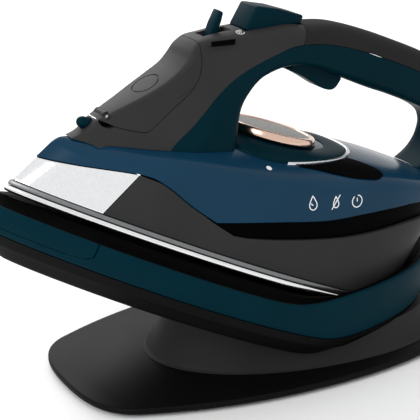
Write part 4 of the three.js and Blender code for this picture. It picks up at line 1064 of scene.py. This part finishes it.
def build_controls():
    tab = prism([(80.6, 108), (84.4, 108), (84.2, 118.6), (83.4, 123.6), (80.8, 124), (80.2, 116)], 3.6)
    tab = bevelled(tab, 0.7, 3, 40)
    arm = prism([(83.4, 103), (88.6, 103), (84.4, 112), (80.6, 111)], 2.2)
    hub = across(86, 103, 9, 3.6)
    combine(tab, "UNION", arm, hub)
    piece(tab, "steam_lever_skin", "lever", TEAL, ["steam_lever"])

    wedge = [
        (96.6, 119), (98.4, 133.2), (112, 136.2), (129, 138), (129, 133.4),
        (122, 129.6), (115, 125.4), (108.4, 121.2), (103, 119),
    ]
    button = bevelled(prism(wedge, 9), 1.3, 4, 40)
    piece(button, "spray_button_skin", "spray", TEAL, ["spray_button"])

    blade = [
        (137.6, 118.6), (135.8, 114), (134.6, 107.4), (142, 107.2), (149.5, 106.4), (157, 105.2),
        (162, 104.7),
        (166.6, 105.5), (169.2, 107.9), (170.6, 113), (168, 117.4), (150, 117.8), (143, 120.4),
        (139, 120.8),
    ]
    lower = spline(blade[2:10], 40)
    trigger = prism([tuple(p) for p in blade[:2]] + [tuple(p) for p in lower] + blade[10:], 7.2)
    trigger = bevelled(trigger, 1.6, 4, 40)
    combine(trigger, "DIFFERENCE", across(140, 118.6, 20, 1.4))
    piece(trigger, "steam_trigger_skin", "trigger", TEAL, ["steam_trigger"])


# ---- signs ---------------------------------------------------------------------------------------------
def world_of(x, y, z):
    return Vector(placed([(x, y, z)], "iron")[0])


def stroke(target, centre, right, up, toward, path, width, proud, deep, closed=False):
    """A thin bar that follows path over a surface; path is in millimetres along right and up."""
    tree = BVHTree.FromObject(target, bpy.context.evaluated_depsgraph_get())
    spots = []
    for a, b in path:
        start = centre + (right * a + up * b) / 1000 + toward * 0.03
        spot, normal, _, _ = tree.ray_cast(start, -toward)
        if spot is None:
            return None
        spots.append((np.array(spot) * 1000, np.array(normal)))
    rings = []
    count = len(spots)
    for i, (spot, normal) in enumerate(spots):
        before = spots[(i - 1) % count if closed else max(0, i - 1)][0]
        after = spots[(i + 1) % count if closed else min(count - 1, i + 1)][0]
        along = after - before
        along /= np.linalg.norm(along)
        across_way = np.cross(along, normal)
        across_way /= np.linalg.norm(across_way)
        rings.append([spot + across_way * s * width / 2 + normal * h for s,
            h in ((-1, proud), (1, proud), (1, -deep), (-1, -deep))])
    points = np.concatenate(rings)
    points = points - (BASE_SHIFT, 0, 0)
    faces = grid_faces(len(rings), 4, closed, True)
    if not closed:
        faces += [(3, 2, 1, 0), tuple(4 * (len(rings) - 1) + i for i in range(4))]
    return raw(points, faces, "dock")


def circle(radius, count=40, start=0.0, sweep=2 * math.pi):
    closed = sweep >= 2 * math.pi
    angles = start + np.linspace(0, sweep, count, endpoint=not closed)
    return [(radius * math.cos(a), radius * math.sin(a)) for a in angles]


def build_signs():
    find = bpy.data.objects
    face_up = Vector((-0.774 * COS + 0.633 * SIN, 0, 0.774 * SIN + 0.633 * COS)).normalized()
    along = Vector((0.633 * COS + 0.774 * SIN, 0, -0.633 * SIN + 0.774 * COS)).normalized()
    side = Vector((0, 1, 0))
    door = find["filler_door_skin"]
    ring = stroke(door, world_of(55.7, 0, 74.6), along, side, face_up, circle(7.6, 72), 0.75, 1, 0.55, True)
    u_line = [(-9, -5)] + [(t, -5.4) for t in np.linspace(-6, 3, 6)] + [(3 + 5.4 * math.sin(a),
        -5.4 * math.cos(a)) for a in np.linspace(0.2, math.pi - 0.2, 14)]
    u_line += [(t, 5.4) for t in np.linspace(3, -6, 6)] + [(-9, 5)]
    panel = stroke(door, world_of(37.5, 0, 54), along, side, face_up, u_line, 0.7, 1, 0.5)
    for tool in (ring, panel):
        if tool:
            combine(door, "DIFFERENCE", tool)
    finish_shading(door)

    tank = find["water_tank_skin"]
    out = Vector((0, -1, 0))
    east, north = Vector((1, 0, 0)), Vector((0, 0, 1))
    marks = []

    def draw(target, at, path, width=0.55, closed=False, right=east, up=north, toward=out):
        made = stroke(target, world_of(*at), right, up, toward, path, width, 0.1, 0.3, closed)
        if made:
            marks.append(made)

    drop = [(0, 4), (-1.6, 1), (-2.3, -1), (-1.8, -2.9), (0, -3.8), (1.8, -2.9), (2.3, -1), (1.6, 1)]
    draw(tank, (148, -52.5, 47), spline(drop + drop[:1], 40)[:-1], closed=True)
    draw(tank, (148, -52.5, 47), circle(1.1, 12, math.pi, math.pi / 2))
    small = [(0.75 * a, 0.8 * b) for a, b in drop]
    draw(tank, (162, -53.1, 51.2), spline(small + small[:1], 40)[:-1], closed=True)
    draw(tank, (162, -53.1, 51.2), [(t, 1.25 * t) for t in np.linspace(-2.9, 2.9, 10)])
    draw(tank, (175.8, -52.8, 55.2), circle(3.3, 40, 2.1, 5.6))
    draw(tank, (175.8, -52.8, 55.2), [(0, t) for t in np.linspace(-0.2, 1.9, 5)])
    draw(tank, (122.2, -39.2, 56.2), circle(0.85, 24), 1.5, True, toward=(out + north * 0.8).normalized(),
        up=(north + Vector((0, 0.8, 0))).normalized())
    cover = find["front_cover_skin"]
    lean = Vector((-0.25, -0.5, 0.85)).normalized()
    flat_right = Vector((0.9, 0, 0.25)).normalized()
    flat_up = flat_right.cross(lean) * -1
    draw(cover, (93, -10, 118), circle(2.2, 30, 0.6, 5.2), 0.34, right=flat_right, up=flat_up, toward=lean)
    for shift in (-0.7, 0.5):
        wave = [(shift + 0.35 * math.sin(3 * t), t) for t in np.linspace(-1, 1.6, 9)]
        draw(cover, (93, -10, 118), wave, 0.3, right=flat_right, up=flat_up, toward=lean)
    for index, mark in enumerate(marks):
        piece(mark, f"sign_{index + 1}", "iron", PRINT)


def finish_shading(obj, sharp=32):
    for polygon in obj.data.polygons:
        polygon.use_smooth = True
    obj.data.set_sharp_from_angle(angle=math.radians(sharp))


# ---- what stays as CAD ---------------------------------------------------------------------------------
def finish_cad_nodes():
    looks = {
        "rubber": RUBBER, "black": BLACK, "brass": BRASS, "steel": STEEL, "charcoal": CHARCOAL,
        "aluminium": CAST,
        "circuit_green": BOARD, "gloss_black": GLOSS, "teal": TEAL, "grey_metal": GREY, "chrome": CHROME,
    }
    slots = {part["node"]: part["material_slot"] for part in frame["record"]["subparts"]}
    for name, obj in frame["nodes"].items():
        look = looks.get(slots.get(name))
        if look:
            obj.data.materials.clear()
            obj.data.materials.append(look)


# ---- stage ---------------------------------------------------------------------------------------------
CAMERA_AT = (-365.05, -611.9, 354.7)
CAMERA_TARGET = (29.19, 80, 53)
CAMERA_LENS = 115.8


def build_stage():
    reach = 6.0
    bpy.ops.mesh.primitive_grid_add(x_subdivisions=2, y_subdivisions=2, size=2 * reach, location=(0, 0, 0))
    floor = bpy.context.object
    floor.name = "floor"
    floor_look, _, _, bsdf = new_material("pale_floor")
    bsdf.inputs["Base Color"].default_value = (0.9, 0.9, 0.9, 1)
    bsdf.inputs["Roughness"].default_value = 0.6
    floor.data.materials.append(floor_look)

    world = bpy.data.worlds.new("studio")
    bpy.context.scene.world = world
    world.use_nodes = True
    background = world.node_tree.nodes["Background"]
    background.inputs["Color"].default_value = (1, 1, 1, 1)
    background.inputs["Strength"].default_value = 0.95

    def area(name, place, at, size, power):
        light = bpy.data.lights.new(name, "AREA")
        light.shape = "RECTANGLE"
        light.size, light.size_y = size
        light.energy = power
        obj = bpy.data.objects.new(name, light)
        bpy.context.scene.collection.objects.link(obj)
        obj.location = place
        obj.rotation_euler = (Vector(at) - Vector(place)).to_track_quat("-Z", "Y").to_euler()

    area("key", (-1.1, -0.6, 0.9), (0, 0, 0.1), (0.7, 0.7), 8)
    area("back", (0, 1.2, 0.9), (0, 0, 0.12), (1.2, 0.9), 11)

    target = Vector(CAMERA_TARGET) / 1000
    camera = bpy.data.objects.new("camera", bpy.data.cameras.new("camera"))
    bpy.context.scene.collection.objects.link(camera)
    camera.location = Vector(CAMERA_AT) / 1000
    camera.rotation_euler = (target - camera.location).to_track_quat("-Z", "Y").to_euler()
    camera.data.lens = CAMERA_LENS
    camera.data.sensor_width = 36
    bpy.context.scene.camera = camera
    bpy.context.scene.view_settings.view_transform = "Standard"


build_tray()
build_liner()
build_base()
build_sole()
build_sides()
build_tank()
outer_handle = build_handle()
build_trim(outer_handle)
build_dial()
build_nozzle()
build_controls()
build_signs()
finish_cad_nodes()
for leftover in [o for o in bpy.data.objects if o.type == "MESH" and o.name.startswith("tool")]:
    bpy.data.objects.remove(leftover)
build_stage()
